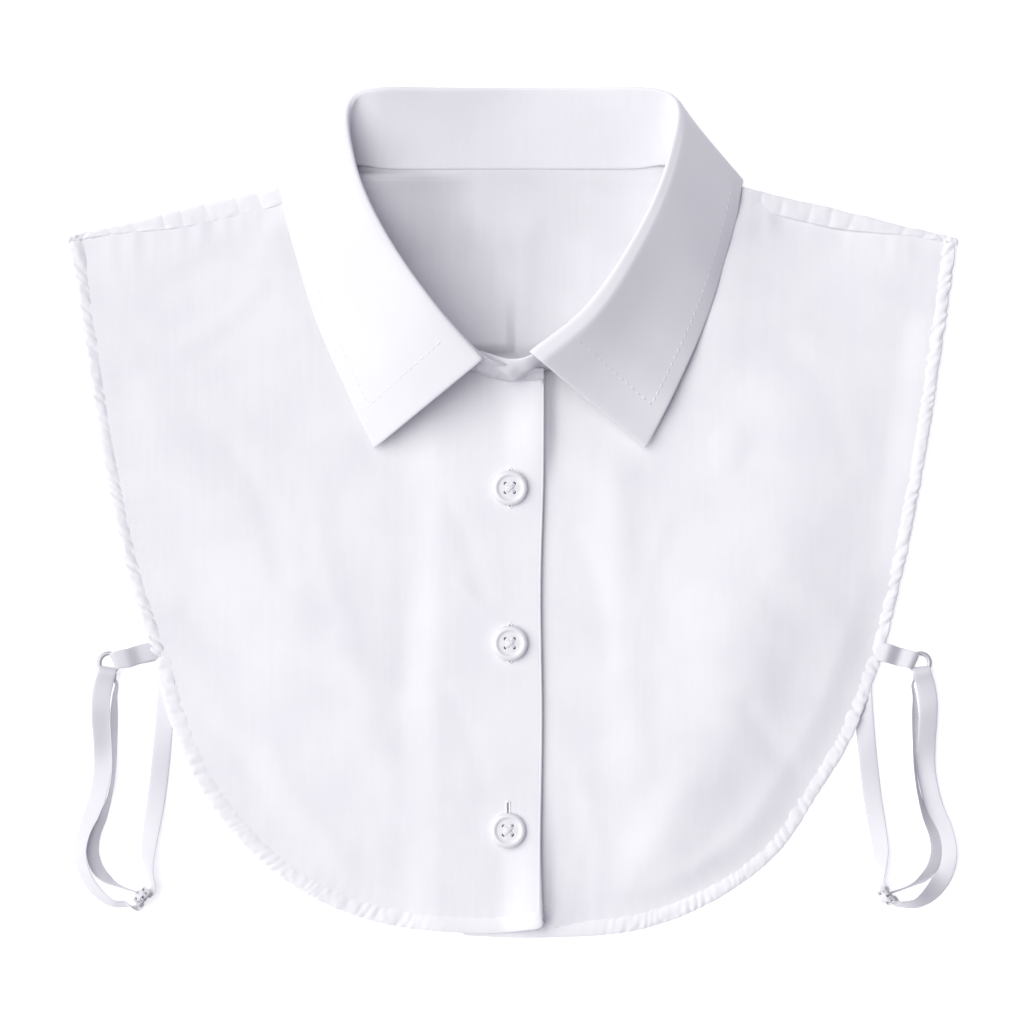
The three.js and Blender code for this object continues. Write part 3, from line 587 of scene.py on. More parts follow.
def placed(bm: BMesh, at: Sequence[float], turn: Matrix | None = None) -> BMesh:
    """Moves a mesh made about the origin in millimetres to its place, in metres.

    Args:
        bm: The mesh.
        at: The place, in millimetres.
        turn: A turn made before the move.

    Returns:
        The same mesh.
    """
    matrix = Matrix.Scale(MM, 4) @ Matrix.Translation(at) @ (turn or Matrix())
    bmesh.ops.transform(bm, matrix=matrix, verts=bm.verts)
    return bm


def dress(obj: Object, slot: str, *nodes: str) -> Object:
    """Hangs a piece on the body, hides the CAD nodes that it replaces and logs its faces.

    Args:
        obj: The piece.
        slot: The record's material slot, which is not used.
        nodes: CAD nodes that it replaces.

    Returns:
        The piece.
    """
    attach(obj, ROOT)
    if nodes:
        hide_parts(*nodes)
    LOG.info("%s: %d faces", obj.name, len(obj.data.polygons))
    return obj


# ---- Finishes -----------------------------------------------------------------------------------
def linear(color: str) -> tuple[float, float, float, float]:
    """An sRGB hex colour as linear light, with full alpha."""
    parts = [int(color[i:i + 2], 16) / 255 for i in (1, 3, 5)]
    return (*[p / 12.92 if p <= 0.04045 else ((p + 0.055) / 1.055) ** 2.4 for p in parts], 1.0)


def add_node(tree: NodeTree, kind: str, settings: dict[str, object] | None = None,
             inputs: dict[str, object] | None = None) -> Node:
    """Adds a node with its settings, values and links.

    Args:
        tree: The node tree.
        kind: The node's type.
        settings: Properties of the node.
        inputs: Values, or output sockets to link, by input name.

    Returns:
        The node.
    """
    node = tree.nodes.new(kind)
    for name, value in (settings or {}).items():
        setattr(node, name, value)
    fill(node, inputs or {})
    return node


def fill(node: Node, inputs: dict[str, object]) -> None:
    """Sets a node's inputs.

    Args:
        node: The node.
        inputs: Values, or output sockets to link, by input name or number.
    """
    for name, value in inputs.items():
        socket = node.inputs[int(name)] if name.isdigit() else node.inputs[name]
        if isinstance(value, NodeSocket):
            node.id_data.links.new(value, socket)
        else:
            socket.default_value = value


def new_material(name: str) -> tuple[Material, NodeTree, Node]:
    """A material with an empty principled shader."""
    material = bpy.data.materials.new(name)
    material.use_nodes = True
    return material, material.node_tree, material.node_tree.nodes["Principled BSDF"]


@dataclass(frozen=True)
class PoplinFinish:
    """Cotton poplin, a close plain weave with slightly uneven warp threads, washed and ironed.

    The eye gets a matte white with faint streaks down the warp and soft clouds where the ironed cloth isn't
    quite flat. The clouds are raised as relief and also painted in as shade, darker in their hollows. The
    threads are 0.15 mm apart, too fine to show, so the streaks are drawn 0.9 mm wide.
    """

    name: str = "cotton_poplin"
    light: str = "#F1F1F4"
    shade: str = "#ECECF0"
    streak_mm: float = 0.9
    streak_length_mm: float = 14.0
    cloud_mm: float = 22.0
    streak_share: float = 0.4
    relief_mm: float = 0.012
    cloud_relief_mm: float = 0.32
    roughness: float = 0.9

    def material(self) -> Material:
        """Builds the material: the streaks and the clouds give both its tone and its relief, and the clouds'
        tone is painted shade in their hollows.
        """
        material, tree, shader = new_material(self.name)
        place = add_node(tree, "ShaderNodeTexCoord").outputs["Object"]
        across, along = 1 / (self.streak_mm * MM), 1 / (self.streak_length_mm * MM)
        stretched = add_node(tree, "ShaderNodeMapping", None, {
            "Vector": place, "Scale": (across, along, across)})
        streaks = add_node(tree, "ShaderNodeTexNoise", None, {
            "Vector": stretched.outputs[0], "Scale": 0.5, "Detail": 2.0, "Roughness": 0.6})
        clouds = add_node(tree, "ShaderNodeTexNoise", None, {
            "Vector": place, "Scale": 1 / (self.cloud_mm * MM), "Detail": 3.0, "Roughness": 0.45})
        tone = add_node(tree, "ShaderNodeMath", {"operation": "MULTIPLY_ADD"}, {
            "0": streaks.outputs["Fac"], "1": self.streak_share, "2": clouds.outputs["Fac"]})
        ramp = add_node(tree, "ShaderNodeMapRange", None, {
            "Value": tone.outputs[0], "From Min": 0.5, "From Max": 0.85})
        # The colour runs from shade to light with the tone: the warp streaks' own tone, plus painted shade in
        # the clouds' hollows.
        color = add_node(tree, "ShaderNodeMix", {"data_type": "RGBA"}, {
            "0": ramp.outputs[0], "6": linear(self.shade), "7": linear(self.light)})
        cloud_bump = add_node(tree, "ShaderNodeBump", None, {
            "Height": clouds.outputs["Fac"], "Strength": 1.0, "Distance": self.cloud_relief_mm * MM})
        bump = add_node(tree, "ShaderNodeBump", None, {
            "Height": streaks.outputs["Fac"], "Strength": 1.0, "Distance": self.relief_mm * MM,
            "Normal": cloud_bump.outputs[0]})
        fill(shader, {
            "Base Color": color.outputs[2], "Normal": bump.outputs[0], "Roughness": self.roughness,
            "Specular IOR Level": 0.25, "Sheen Weight": 0.08, "Sheen Roughness": 0.6})
        return material


@dataclass(frozen=True)
class PlainFinish:
    """A finish of one colour, such as moulded resin, lacquered wire or sewing thread."""

    name: str
    color: str
    roughness: float
    ior: float = 1.5
    coat: float = 0.0
    specular: float = 0.5
    metallic: float = 0.0
    grain_mm: float = 0.6
    grain_relief_mm: float = 0.004

    def material(self) -> Material:
        """Builds the material, with a faint grain in its surface."""
        material, tree, shader = new_material(self.name)
        place = add_node(tree, "ShaderNodeTexCoord").outputs["Object"]
        grain = add_node(tree, "ShaderNodeTexNoise", None, {
            "Vector": place, "Scale": 1 / (self.grain_mm * MM), "Detail": 2.0})
        bump = add_node(tree, "ShaderNodeBump", None, {
            "Height": grain.outputs["Fac"], "Distance": self.grain_relief_mm * MM})
        fill(shader, {
            "Base Color": linear(self.color), "Normal": bump.outputs[0], "Roughness": self.roughness,
            "IOR": self.ior, "Specular IOR Level": self.specular, "Metallic": self.metallic,
            "Coat Weight": self.coat, "Coat Roughness": 0.15})
        return material


@dataclass(frozen=True)
class SatinElasticFinish:
    """Woven elastic with a satin face: long floats of bright yarn over rubber threads.

    The eye gets a silky white band with fine ribs across and a fine line near each edge. The ribs
    are 0.35 mm apart in the real one and drawn 0.7 mm apart.
    """

    name: str = "satin_elastic"
    color: str = "#DADADF"
    rib_mm: float = 0.7
    length_mm: float = 290.0
    relief_mm: float = 0.012
    roughness: float = 0.42

    def material(self) -> Material:
        """Builds the material from the strap's own map, which runs along it."""
        material, tree, shader = new_material(self.name)
        along = add_node(tree, "ShaderNodeUVMap", {"uv_map": "UVMap"}).outputs[0]
        scaled = add_node(tree, "ShaderNodeMapping", None, {
            "Vector": along, "Scale": (self.length_mm / self.rib_mm, 1.0, 1.0)})
        ribs = add_node(tree, "ShaderNodeTexWave", {"wave_type": "BANDS", "bands_direction": "X"}, {
            "Vector": scaled.outputs[0], "Scale": 0.314, "Distortion": 0.4, "Detail": 1.0})
        bump = add_node(tree, "ShaderNodeBump", None, {
            "Height": ribs.outputs["Fac"], "Distance": self.relief_mm * MM})
        fill(shader, {"Base Color": linear(self.color), "Normal": bump.outputs[0],
                      "Roughness": self.roughness, "Sheen Weight": 0.15})
        return material


class Finishes:
    """Every finish of the garment, made once."""

    def __init__(self) -> None:
        """Makes the materials."""
        self.poplin = PoplinFinish().material()
        # The hems: the same poplin three plies thick, painted lighter than the panels to offset the shade of
        # their puckers.
        self.hem = PoplinFinish("hem_poplin_painted_light", light="#F5F5F8", shade="#F0F0F3").material()
        # The back: the same poplin painted greyer all over, as painted shade for the inside of the neck.
        self.back = PoplinFinish("back_poplin_painted_shade", light="#E1E1E5", shade="#DCDCE0").material()
        # The stand: poplin fused to interlining, painted greyer as painted shade for the enclosed neck.
        self.stand = PoplinFinish("stand_poplin_painted_shade", light="#E8E8EC", shade="#E4E4E8", cloud_relief_mm=0.2,
                                  relief_mm=0.008).material()
        # The collar is the same poplin over interlining, pressed flatter and whiter.
        self.collar = PoplinFinish("interlined_poplin", light="#EDEDF0", shade="#EBEBEF",
                                   cloud_relief_mm=0.12, relief_mm=0.008).material()
        # Polyester thread, two plies with a slight lustre.
        self.thread = PlainFinish("polyester_thread", "#F2F2F6", 0.6).material()
        # Polyester resin, cast in a rod, turned and tumbled to a soft gloss.
        self.resin = PlainFinish("cast_resin", "#EBEBEE", 0.3, ior=1.54, coat=0.2).material()
        # Steel wire and plate under a clear coating: pale grey, and it mirrors the dark round it.
        self.coated = PlainFinish("clear_coated_steel", "#C2C2C6", 0.36, metallic=0.3).material()
        self.elastic = SatinElasticFinish().material()


# ---- Panels -------------------------------------------------------------------------------------
@dataclass(frozen=True)
class Edges:
    """The four sides of a panel in plan: bottom and top run outwards, inner and outer run up."""

    bottom: Line
    top: Line
    inner: Line
    outer: Line

    def point(self, u: float, v: float) -> Vector:
        """The place in plan at shares of the way across the panel.

        Args:
            u: The share outwards.
            v: The share up.

        Returns:
            The place.
        """
        bottom, top, inner, outer = self.bottom, self.top, self.inner, self.outer
        ruled = bottom.point(u) * (1 - v) + top.point(u) * v + inner.point(v) * (1 - u) + outer.point(v) * u
        corners = (bottom.points[0] * (1 - u) + bottom.points[-1] * u) * (1 - v)
        corners += (top.points[0] * (1 - u) + top.points[-1] * u) * v
        return ruled - corners


@dataclass
class Panel:
    """A single ply of poplin, laid over its four sides."""

    lay: Lay
    finishes: Finishes
    thickness: float = PLY
    columns: int = 150
    rows: int = 165

    def edges(self) -> Edges:
        """The panel's four sides."""
        raise NotImplementedError

    def height(self, x: float, y: float) -> float:
        """The height of the cloth's middle at a place in plan."""
        raise NotImplementedError

    def sheet(self) -> BMesh:
        """The panel's mesh, without its thickness."""
        edges = self.edges()

        def column_at(u: float) -> Column:
            """The panel's points up one column."""
            def place(v: float) -> Vector:
                """One point of the panel."""
                p = edges.point(u, v)
                return Vector((p.x, p.y, self.height(p.x, p.y)))

            return place

        return mapped_grid(self.columns, self.rows, column_at)


@dataclass
class FrontPanel(Panel):
    """One front, which stands a little off the back, with soft folds."""

    side: Side = Side.RIGHT
    hem_in: float = 2.0
    bottom_in: float = 3.0
    under_strip: float = 1.3
    gather: float = 0.2
    armhole_pitch: float = 5.1
    bottom_pitch: float = 5.6
    lowest: float = 1.7
    step_top: float = 4.2  # the left front's steps down beside the placket: at its top
    step_low: tuple[float, float] = (1.8, 1.4)  # and at its lower end, a steep and a broad one
    pad: float = 1.7
    slits: Sequence["Buttonhole"] = ()

    def edges(self) -> Edges:
        """The panel's four sides, whose hemmed ones end inside the hems."""
        sign = self.side.value
        armhole = inset(self.lay.armhole[self.side], self.side, self.hem_in)
        bottom = inset(self.lay.bottom[self.side], self.side, self.bottom_in)
        top_y = self.lay.shoulder_y(self.side, armhole.points[0].x) - self.under_strip
        armhole = Line([p for p in armhole.points if p.y < top_y])
        bottom = Line([p for p in bottom.points if p.y < armhole.points[-1].y])
        outer = Line([*armhole.points[:-1], bottom.points[0]]).reversed()
        rows = [*STAND_FRONT[self.side], *NECK[:4]]
        neck = Curve([(CENTRE_X + sign * r.seam[0], r.seam[1]) for r in rows]).line(2.0)
        shoulder_in = Vector((neck.points[-1].x, 0, 0))
        shoulder_in.y = self.lay.shoulder_y(self.side, shoulder_in.x) - self.under_strip
        top = neck.joined(Line([shoulder_in, outer.points[-1]]))
        base = bottom.points[-1]
        if self.side is Side.RIGHT:
            inner = Curve([(base.x, base.y), *RIGHT_FRONT_EDGE, top.points[0][:2]]).line(2.0)
        else:
            inner = Line([base, Vector((LEFT_EDGE_X, top.points[0].y, 0))])
            top = Line([inner.points[-1], *top.points])
        return Edges(bottom.reversed(), top, inner, outer)

    def height(self, x: float, y: float) -> float:
        """The height of the cloth's middle, with folds, puckers by the hems and crumples by the seam.

        Args:
            x: Place in plan.
            y: Place in plan.

        Returns:
            The height.
        """
        z = self.lay.front_underside(x, y) + self.lay.rise(self.side, x, y) + PLY_MIDDLE
        distance, along, name = self.lay.nearest_hem(x, y)
        inside = smooth_step(distance, 4, 16)
        z += inside * fold_height(FINE_FOLDS, x, y)
        z += inside * 0.12 * noise.noise(Vector((x / 17, y / 23, 3.1)))
        pitch = self.armhole_pitch if name == "armhole" else self.bottom_pitch
        wave = sin(2 * pi * along / pitch + 2.5 * wander(along / 21, 1.3))
        z += self.gather * exp(-distance / 4.5) * wave * (0.7 + 0.5 * wander(along / 13, 7.7))
        seam = self.lay.shoulder_y(self.side, x) - y
        z += 0.3 * exp(-((seam - 8) / 6) ** 2) * wander(x / 5.0, 2.2)
        if self.side is Side.LEFT:
            z += self.left_rise(x, y, distance)
        return max(z, self.lowest)

    def left_rise(self, x: float, y: float, distance: float) -> float:
        """How far the left front stands up by the placket's free edge and inside its gathered hem.

        The button stand is doubled, so the cloth steps down beside the placket's free edge.

        Args:
            x: Place in plan.
            y: Place in plan.
            distance: How far the place is from the hem.

        Returns:
            The rise.
        """
        band = smooth_step(x, *EDGE_BAND)
        rise = self.step_top * smooth_step(y, *TOP_BAND) * band * (1 - smooth_step(x, 8.9, 15.2))
        low = (1 - smooth_step(y, -146, -96)) * smooth_step(distance, 1, 9) * band
        steep, broad = self.step_low
        rise += low * (steep * (1 - smooth_step(x, 9.2, 14.5)) + broad * (1 - smooth_step(x, 10, 28)))
        return rise + self.pad * smooth_step(distance, 1, 17) * smooth_step(x, 60, 92) * (
            1 - smooth_step(y, -50, -14))

    def build(self) -> Object:
        """Makes the panel with its buttonholes' slits."""
        bm = self.sheet()
        for slit in self.slits:
            slit.cut(bm)
        panel = thicken(to_object(f"{self.side.label}_front_cloth", bm, self.finishes.poplin), self.thickness)
        return dress(panel, "poplin", f"{self.side.label}_front")


@dataclass
class BackPanel(Panel):
    """The back: it lies flat, with the neck seam and the fall folded under its top."""

    columns: int = 200
    rows: int = 150
    armhole_in: float = 2.6
    bottom_in: float = 8.0
    under_seam: float = 1.0
    neck: tuple[float, float] = (56.0, 126.0)
    shoulder_x: float = 69.0
    seam_lift: tuple[float, float] = (0.9, 1.8)  # at centre back and further out
    side_rise: dict[Side, float] = field(default_factory=lambda: {Side.RIGHT: 6.8, Side.LEFT: 1.2})

    def edges(self) -> Edges:
        """The panel's four sides, from the wearer's right to the left."""
        armholes, bottoms, tops = {}, {}, {}
        for side in Side:
            line = inset(self.lay.armhole[side], side, self.armhole_in)
            bottom = inset(self.lay.bottom[side], side, self.bottom_in)
            top_y = self.lay.shoulder_y(side, line.points[0].x) - self.under_seam
            keep = [p for p in line.points if p.y < top_y]
            low = Line([p for p in bottom.points
                        if p.y < keep[-1].y - 2 and (p.x - CENTRE_X) * side.value > 0])
            armholes[side] = Line([*keep, low.points[0]]).reversed()
            bottoms[side] = low
            shoulder_in = Vector((CENTRE_X + side.value * self.shoulder_x, 0, 0))
            shoulder_in.y = self.lay.shoulder_y(side, shoulder_in.x) - self.under_seam
            neck = Vector((CENTRE_X + side.value * self.neck[0], self.neck[1], 0))
            tops[side] = Line([keep[0], shoulder_in, neck])
        bottom = bottoms[Side.RIGHT].joined(bottoms[Side.LEFT].reversed())
        top = tops[Side.RIGHT].joined(tops[Side.LEFT].reversed())
        return Edges(bottom, top, armholes[Side.RIGHT], armholes[Side.LEFT])

    def height(self, x: float, y: float) -> float:
        """The height of the cloth's middle.

        Args:
            x: Place in plan.
            y: Place in plan.

        Returns:
            The height.
        """
        distance, along, _ = self.lay.nearest_hem(x, y)
        z = 0.5 + self.lay.back_lift(x, y)
        soft = smooth_step(distance, 8, 30) * (1 - smooth_step(y, 96, 122))
        z += soft * (fold_height(BACK_FOLDS, x, y) + 0.25 + 0.25 * noise.noise(Vector((x / 26, y / 31, 8.3))))
        z += 0.1 * exp(-distance / 5) * sin(2 * pi * along / 12)
        from_centre = abs(x - CENTRE_X)
        seam_lift = mix(*self.seam_lift, smooth_step(from_centre, 22, 48))
        z += seam_lift * smooth_step(y, 114, 125) * (1 - smooth_step(from_centre, 52, 62))
        return max(z + self.neck_rise(x, y), self.thickness / 2 + 0.05)

    def neck_rise(self, x: float, y: float) -> float:
        """How far the cloth inside the neck is drawn up towards the seam at its sides.

        Args:
            x: Place in plan.
            y: Place in plan.

        Returns:
            The rise.
        """
        if not 50 < y < 122:
            return 0.0
        seams = [row.seam for row in NECK[:6]]
        seam_x = next((mix(a[0], b[0], (y - a[1]) / (b[1] - a[1]))
                       for a, b in zip(seams, seams[1:]) if a[1] <= y < b[1]), 0.0)
        inside = seam_x - abs(x - CENTRE_X)
        rise = self.side_rise[Side.RIGHT if x < CENTRE_X else Side.LEFT]
        rise *= 1 + 0.6 * smooth_step(y, 90, 112)
        return rise * smooth_step(inside, 0, 7) * (1 - smooth_step(inside, 9, 52))

    def build(self) -> Object:
        """Makes the panel."""
        # The back takes the poplin painted greyer: painted shade for the inside of the neck.
        panel = to_object("back_cloth", self.sheet(), self.finishes.back)
        return dress(thicken(panel, self.thickness), "poplin", "back_panel")


@dataclass(frozen=True)
class HemForm:
    """A hem's section, its inner edge's height and its puckers: pitch, depth, lean and crumple."""

    width: float
    height: float
    pucker: float
    wave: float
    lean: float
    seed: float
    inner: float = 0.95
    crumple: float = 0.16


@dataclass
class RolledHem:
    """A hem rolled and stitched, drawn up into small puckers that lean along it."""

    name: str
    line: Line
    form: HemForm
    base: Callable[[Vector], float]
    flat_to: tuple[float, float] = (0.0, 0.0)
    step: float = 0.5
    around: int = 30

    def smoothed(self, p: Vector) -> float:
        """The share of its puckers that the hem keeps at a place: none by the front edge."""
        low, high = self.flat_to
        return smooth_step(abs(p.x), low, high) if high > low else 1.0

    def section(self, share: float, turn: float) -> tuple[float, float]:
        """A point of the hem's section.

        Args:
            share: The share of the way along the hem.
            turn: The angle round the section.

        Returns:
            Its place to the right of the line, and its height.
        """
        form, along = self.form, share * self.line.length
        across = squared(cos(turn), 0.62)
        up = (1 + squared(sin(turn), 0.55)) / 2
        place = along + form.lean * form.width * across / 2
        phase = place / form.pucker + 0.9 * wander(place / 11, form.seed)
        ridge = abs(sin(pi * phase)) ** 0.75
        strength = 0.75 + 0.6 * wander(along / 8, form.seed + 4)
        lift = form.wave * (ridge - 0.7) * max(strength, 0.15)
        lift += form.crumple * wander(place / 1.9, form.seed + 9 + 0.8 * across)
        end = min(along, self.line.length - along) / 3.2
        rounded = sqrt(1 - (1 - min(end, 1.0)) ** 2)
        lift *= rounded * self.smoothed(self.line.point(share))
        outer = max(across, 0.0) ** 3
        body = smooth_step(across, -1.05, 0.1)
        top = mix(form.inner, form.height, body) + lift * (0.35 + 0.65 * body) - 0.2 * outer
        side = across * form.width / 2 * mix(0.45, 1, rounded) + outer * lift * 0.7
        return side, self.base(self.line.point(share)) + up * top * mix(0.5, 1, rounded)

    def build(self, material: Material) -> Object:
        """Makes the hem."""
        bm = swept(self.line, round(self.line.length / self.step), self.around, self.section)
        return dress(to_object(self.name, bm, material), "poplin")


@dataclass
class ShoulderStrip:
    """The shoulder seam turned over to the front: narrow at the tip, wide at the collar."""

    side: Side
    lay: Lay
    tip_width: float = 2.8
    collar_width: float = 7.3
    base: float = 0.2
    ply: float = 0.9
    pucker: float = 10.5
    end: float = 66.0
    steps: int = 190
    around: int = 36

    def build(self, material: Material) -> Object:
        """Makes the strip.

        Args:
            material: Its finish.

        Returns:
            The strip.
        """
        tip = ARMHOLE[self.side][0]
        end = CENTRE_X + self.side.value * self.end

        def column_at(share: float) -> Column:
            """The strip's section at one share of its length, hung from its upper edge."""
            x = mix(tip[0], end, share)
            along = abs(x - tip[0])
            width = mix(self.tip_width, self.collar_width, smooth_step(along, 6, 50))
            near_tip = 1 - smooth_step(along, 2, 12)
            upper = self.lay.shoulder_y(self.side, x)
            under = self.lay.front_underside(x, upper - width) + PLY_MIDDLE

            def place(turn: float) -> Vector:
                """One point of the section."""
                angle = 2 * pi * turn
                across, up = squared(cos(angle), 0.5), (1 + squared(sin(angle), 0.5)) / 2
                phase = (along + 1.2 * across) / self.pucker + 0.5 * wander(along / 19, 9.4 + self.side.value)
                dent = 0.4 * (1 - abs(sin(pi * phase)) ** 0.3)
                dent += 0.1 * wander(along / 3.1, 4.4 + across)
                dent += near_tip * 0.6 * wander(along / 1.6, 8.1 + across)
                top = under + mix(0.62, 1.0, (across + 1) / 2) * self.ply - dent - 0.3 * max(across, 0) ** 4
                low = mix(under - 0.5, self.base, smooth_step(across, -0.4, 0.6))
                y = upper - width * (1 - across) / 2 + 0.25 * wander(along / 6, 6.6) * max(across, 0)
                return Vector((x, y, mix(low, max(top, low + 0.2), up)))

            return place

        bm = tube(self.steps, self.around, column_at)
        return dress(to_object(f"shoulder_strip_{self.side.label}", bm, material), "poplin")


@dataclass
class StitchRun:
    """A row of lockstitches: short threads that sink into the cloth at both ends."""

    name: str
    points: Sequence[Vector]
    thread: Material
    length: float = 2.1
    gap: float = 0.7
    radius: float = 0.19
    slot: str = "poplin"

    def build(self) -> Object:
        """Makes the row of stitches along its points, in millimetres."""
        line = Line(self.points)
        bm = bmesh.new()
        count = int(line.length / (self.length + self.gap))
        for i in range(count):
            share = (i + 0.5) / count
            turn = line.way(share).to_track_quat("X", "Z").to_matrix().to_4x4()
            size = Matrix.Diagonal((self.length / 2, self.radius, self.radius, 1))
            place = Matrix.Scale(MM, 4) @ Matrix.Translation(line.point(share)) @ turn @ size
            bmesh.ops.create_icosphere(bm, subdivisions=1, radius=1.0, matrix=place)
        return dress(to_object(self.name, bm, self.thread), self.slot)


# ---- Collar -------------------------------------------------------------------------------------
@dataclass(frozen=True)
class Station:
    """A place along the neck: seam, fold and free edge, the ways up the stand and into the neck."""

    seam: Vector
    roll: Vector
    edge: Vector
    up: Vector
    inward: Vector
    open: float
    bulge: float

    @property
    def fold_start(self) -> Vector:
        """Where the stand ends and the fall begins, on the neck's side of the fold."""
        return self.roll - self.up * ROLL_REACH + self.inward * self.open


class Neck:
    """The whole neck, from the wearer's right end round the back to the left end."""

    def __init__(self, right: Sequence[NeckRow], left: Sequence[NeckRow]) -> None:
        """Lays the curves through the rows of both halves, which share their last row.

        Args:
            right: The right half's rows, from its front end.
            left: The left half's rows, from its front end.
        """
        rows = [(Side.RIGHT, row) for row in right] + [(Side.LEFT, row) for row in left[-2::-1]]
        self.last = len(rows) - 1
        self.rows = [row for _, row in rows]
        self.seam = self._curve([(side, row.seam) for side, row in rows])
        self.roll = self._curve([(side, row.roll) for side, row in rows])
        self.edge = self._curve([(side, row.edge) for side, row in rows])

    @staticmethod
    def _curve(places: Iterable[tuple[Side, Sequence[float]]]) -> Curve:
        """A curve through places that are given from the centre line outwards."""
        return Curve([(CENTRE_X + side.value * p[0], p[1], p[2]) for side, p in places])

    def station(self, part: float) -> Station:
        """A place along the neck.

        Args:
            part: The share of the rows passed, from the right end to the left.

        Returns:
            The place.
        """
        row = part * self.last
        low = min(int(row), self.last - 1)
        a, b, share = self.rows[low], self.rows[low + 1], row - low
        seam, roll = self.seam.at(part), self.roll.at(part)
        up = (roll - seam).normalized()
        inward = self.roll.tangent(part).cross(up).normalized()
        return Station(seam, roll, self.edge.at(part), up, inward, mix(a.open, b.open, share),
                       mix(a.bulge, b.bulge, share))


@dataclass
class CollarStand:
    """The stand: a band of interlined poplin from the neck seam to the fold, lapped at the front."""

    finishes: Finishes
    columns: int = 320
    rows: int = 18
    thickness: float = 0.8
    creases: float = 2.2
    under_ply_out: float = 2.8
    neck: Neck = field(default_factory=lambda: Neck(
        *([*STAND_FRONT[side], *neck_rows(side)] for side in Side)))

    def column_at(self, u: float) -> Column:
        """The stand's points up one column.

        Args:
            u: The share of the way from the right end round to the left one.

        Returns:
            The points, by the share of the stand's height.
        """
        s = self.neck.station(u)
        top = s.fold_start + s.up * STAND_INTO_FALL
        ply = 1 if u < 0.5 else -1
        from_centre = (s.roll.x - CENTRE_X) * -ply
        front = 1 - smooth_step(u, 0.15, 0.2) + smooth_step(u, 0.8, 0.85)
        lap = (1 - smooth_step(from_centre, *PLY_FADE)) * front

        def place(v: float) -> Vector:
            """One point of the stand."""
            shift = ply * lap * mix(PLY_SEAM, PLY_ROLL, v)
            soft = 0.2 * noise.noise(Vector((s.seam.x / 15, s.seam.y / 15, v)))
            crease = noise.noise(Vector((s.seam.x / 7 - v * 1.3, v * 2.6 + s.seam.x / 15, 4.0 + ply)))
            soft = (soft + front * lap * self.creases * crease) * sin(pi * v)
            if ply < 0:
                soft -= front * lap * self.under_ply_out * sin(pi * v**1.6)
            return s.seam.lerp(top, v) - s.inward * (shift - soft)

        return place

    def build(self) -> Object:
        """Makes the stand."""
        bm = mapped_grid(self.columns, self.rows, self.column_at)
        # The stand takes the poplin painted greyer: painted shade for the enclosed neck.
        stand = thicken(to_object("stand_cloth", bm, self.finishes.stand), self.thickness, rounded=True)
        return dress(stand, "collar_poplin", "collar_stand")


@dataclass(frozen=True)
class LeafForm:
    """How a leaf bends down: its fold's flat top, and its rise over a straight line.

    All are given over the shoulder and at the front end; the leaf eases from one to the other.
    """

    flat_top: tuple[float, float]
    upper: tuple[float, ...]
    lower: tuple[float, ...]


LEAF_SHARES = (0.04, 0.1, 0.2, 0.34, 0.52, 0.72, 0.86, 1.0)
CROWNED = (0.3, 0.6, 1.0, 1.4, 1.8, 1.4, 0.8, 0.5)
LEAF_FORM = {
    Side.RIGHT: LeafForm((0.6, 0.6), CROWNED, CROWNED),
    Side.LEFT: LeafForm((0.4, 1.8), (0.5, 0.6, 0.6, 0.5, 0.4, 0.2, 0.0, -0.9),
                        (0.5, -0.2, -1.4, -2.6, -2.9, -2.1, -1.1, 0.1)),
}


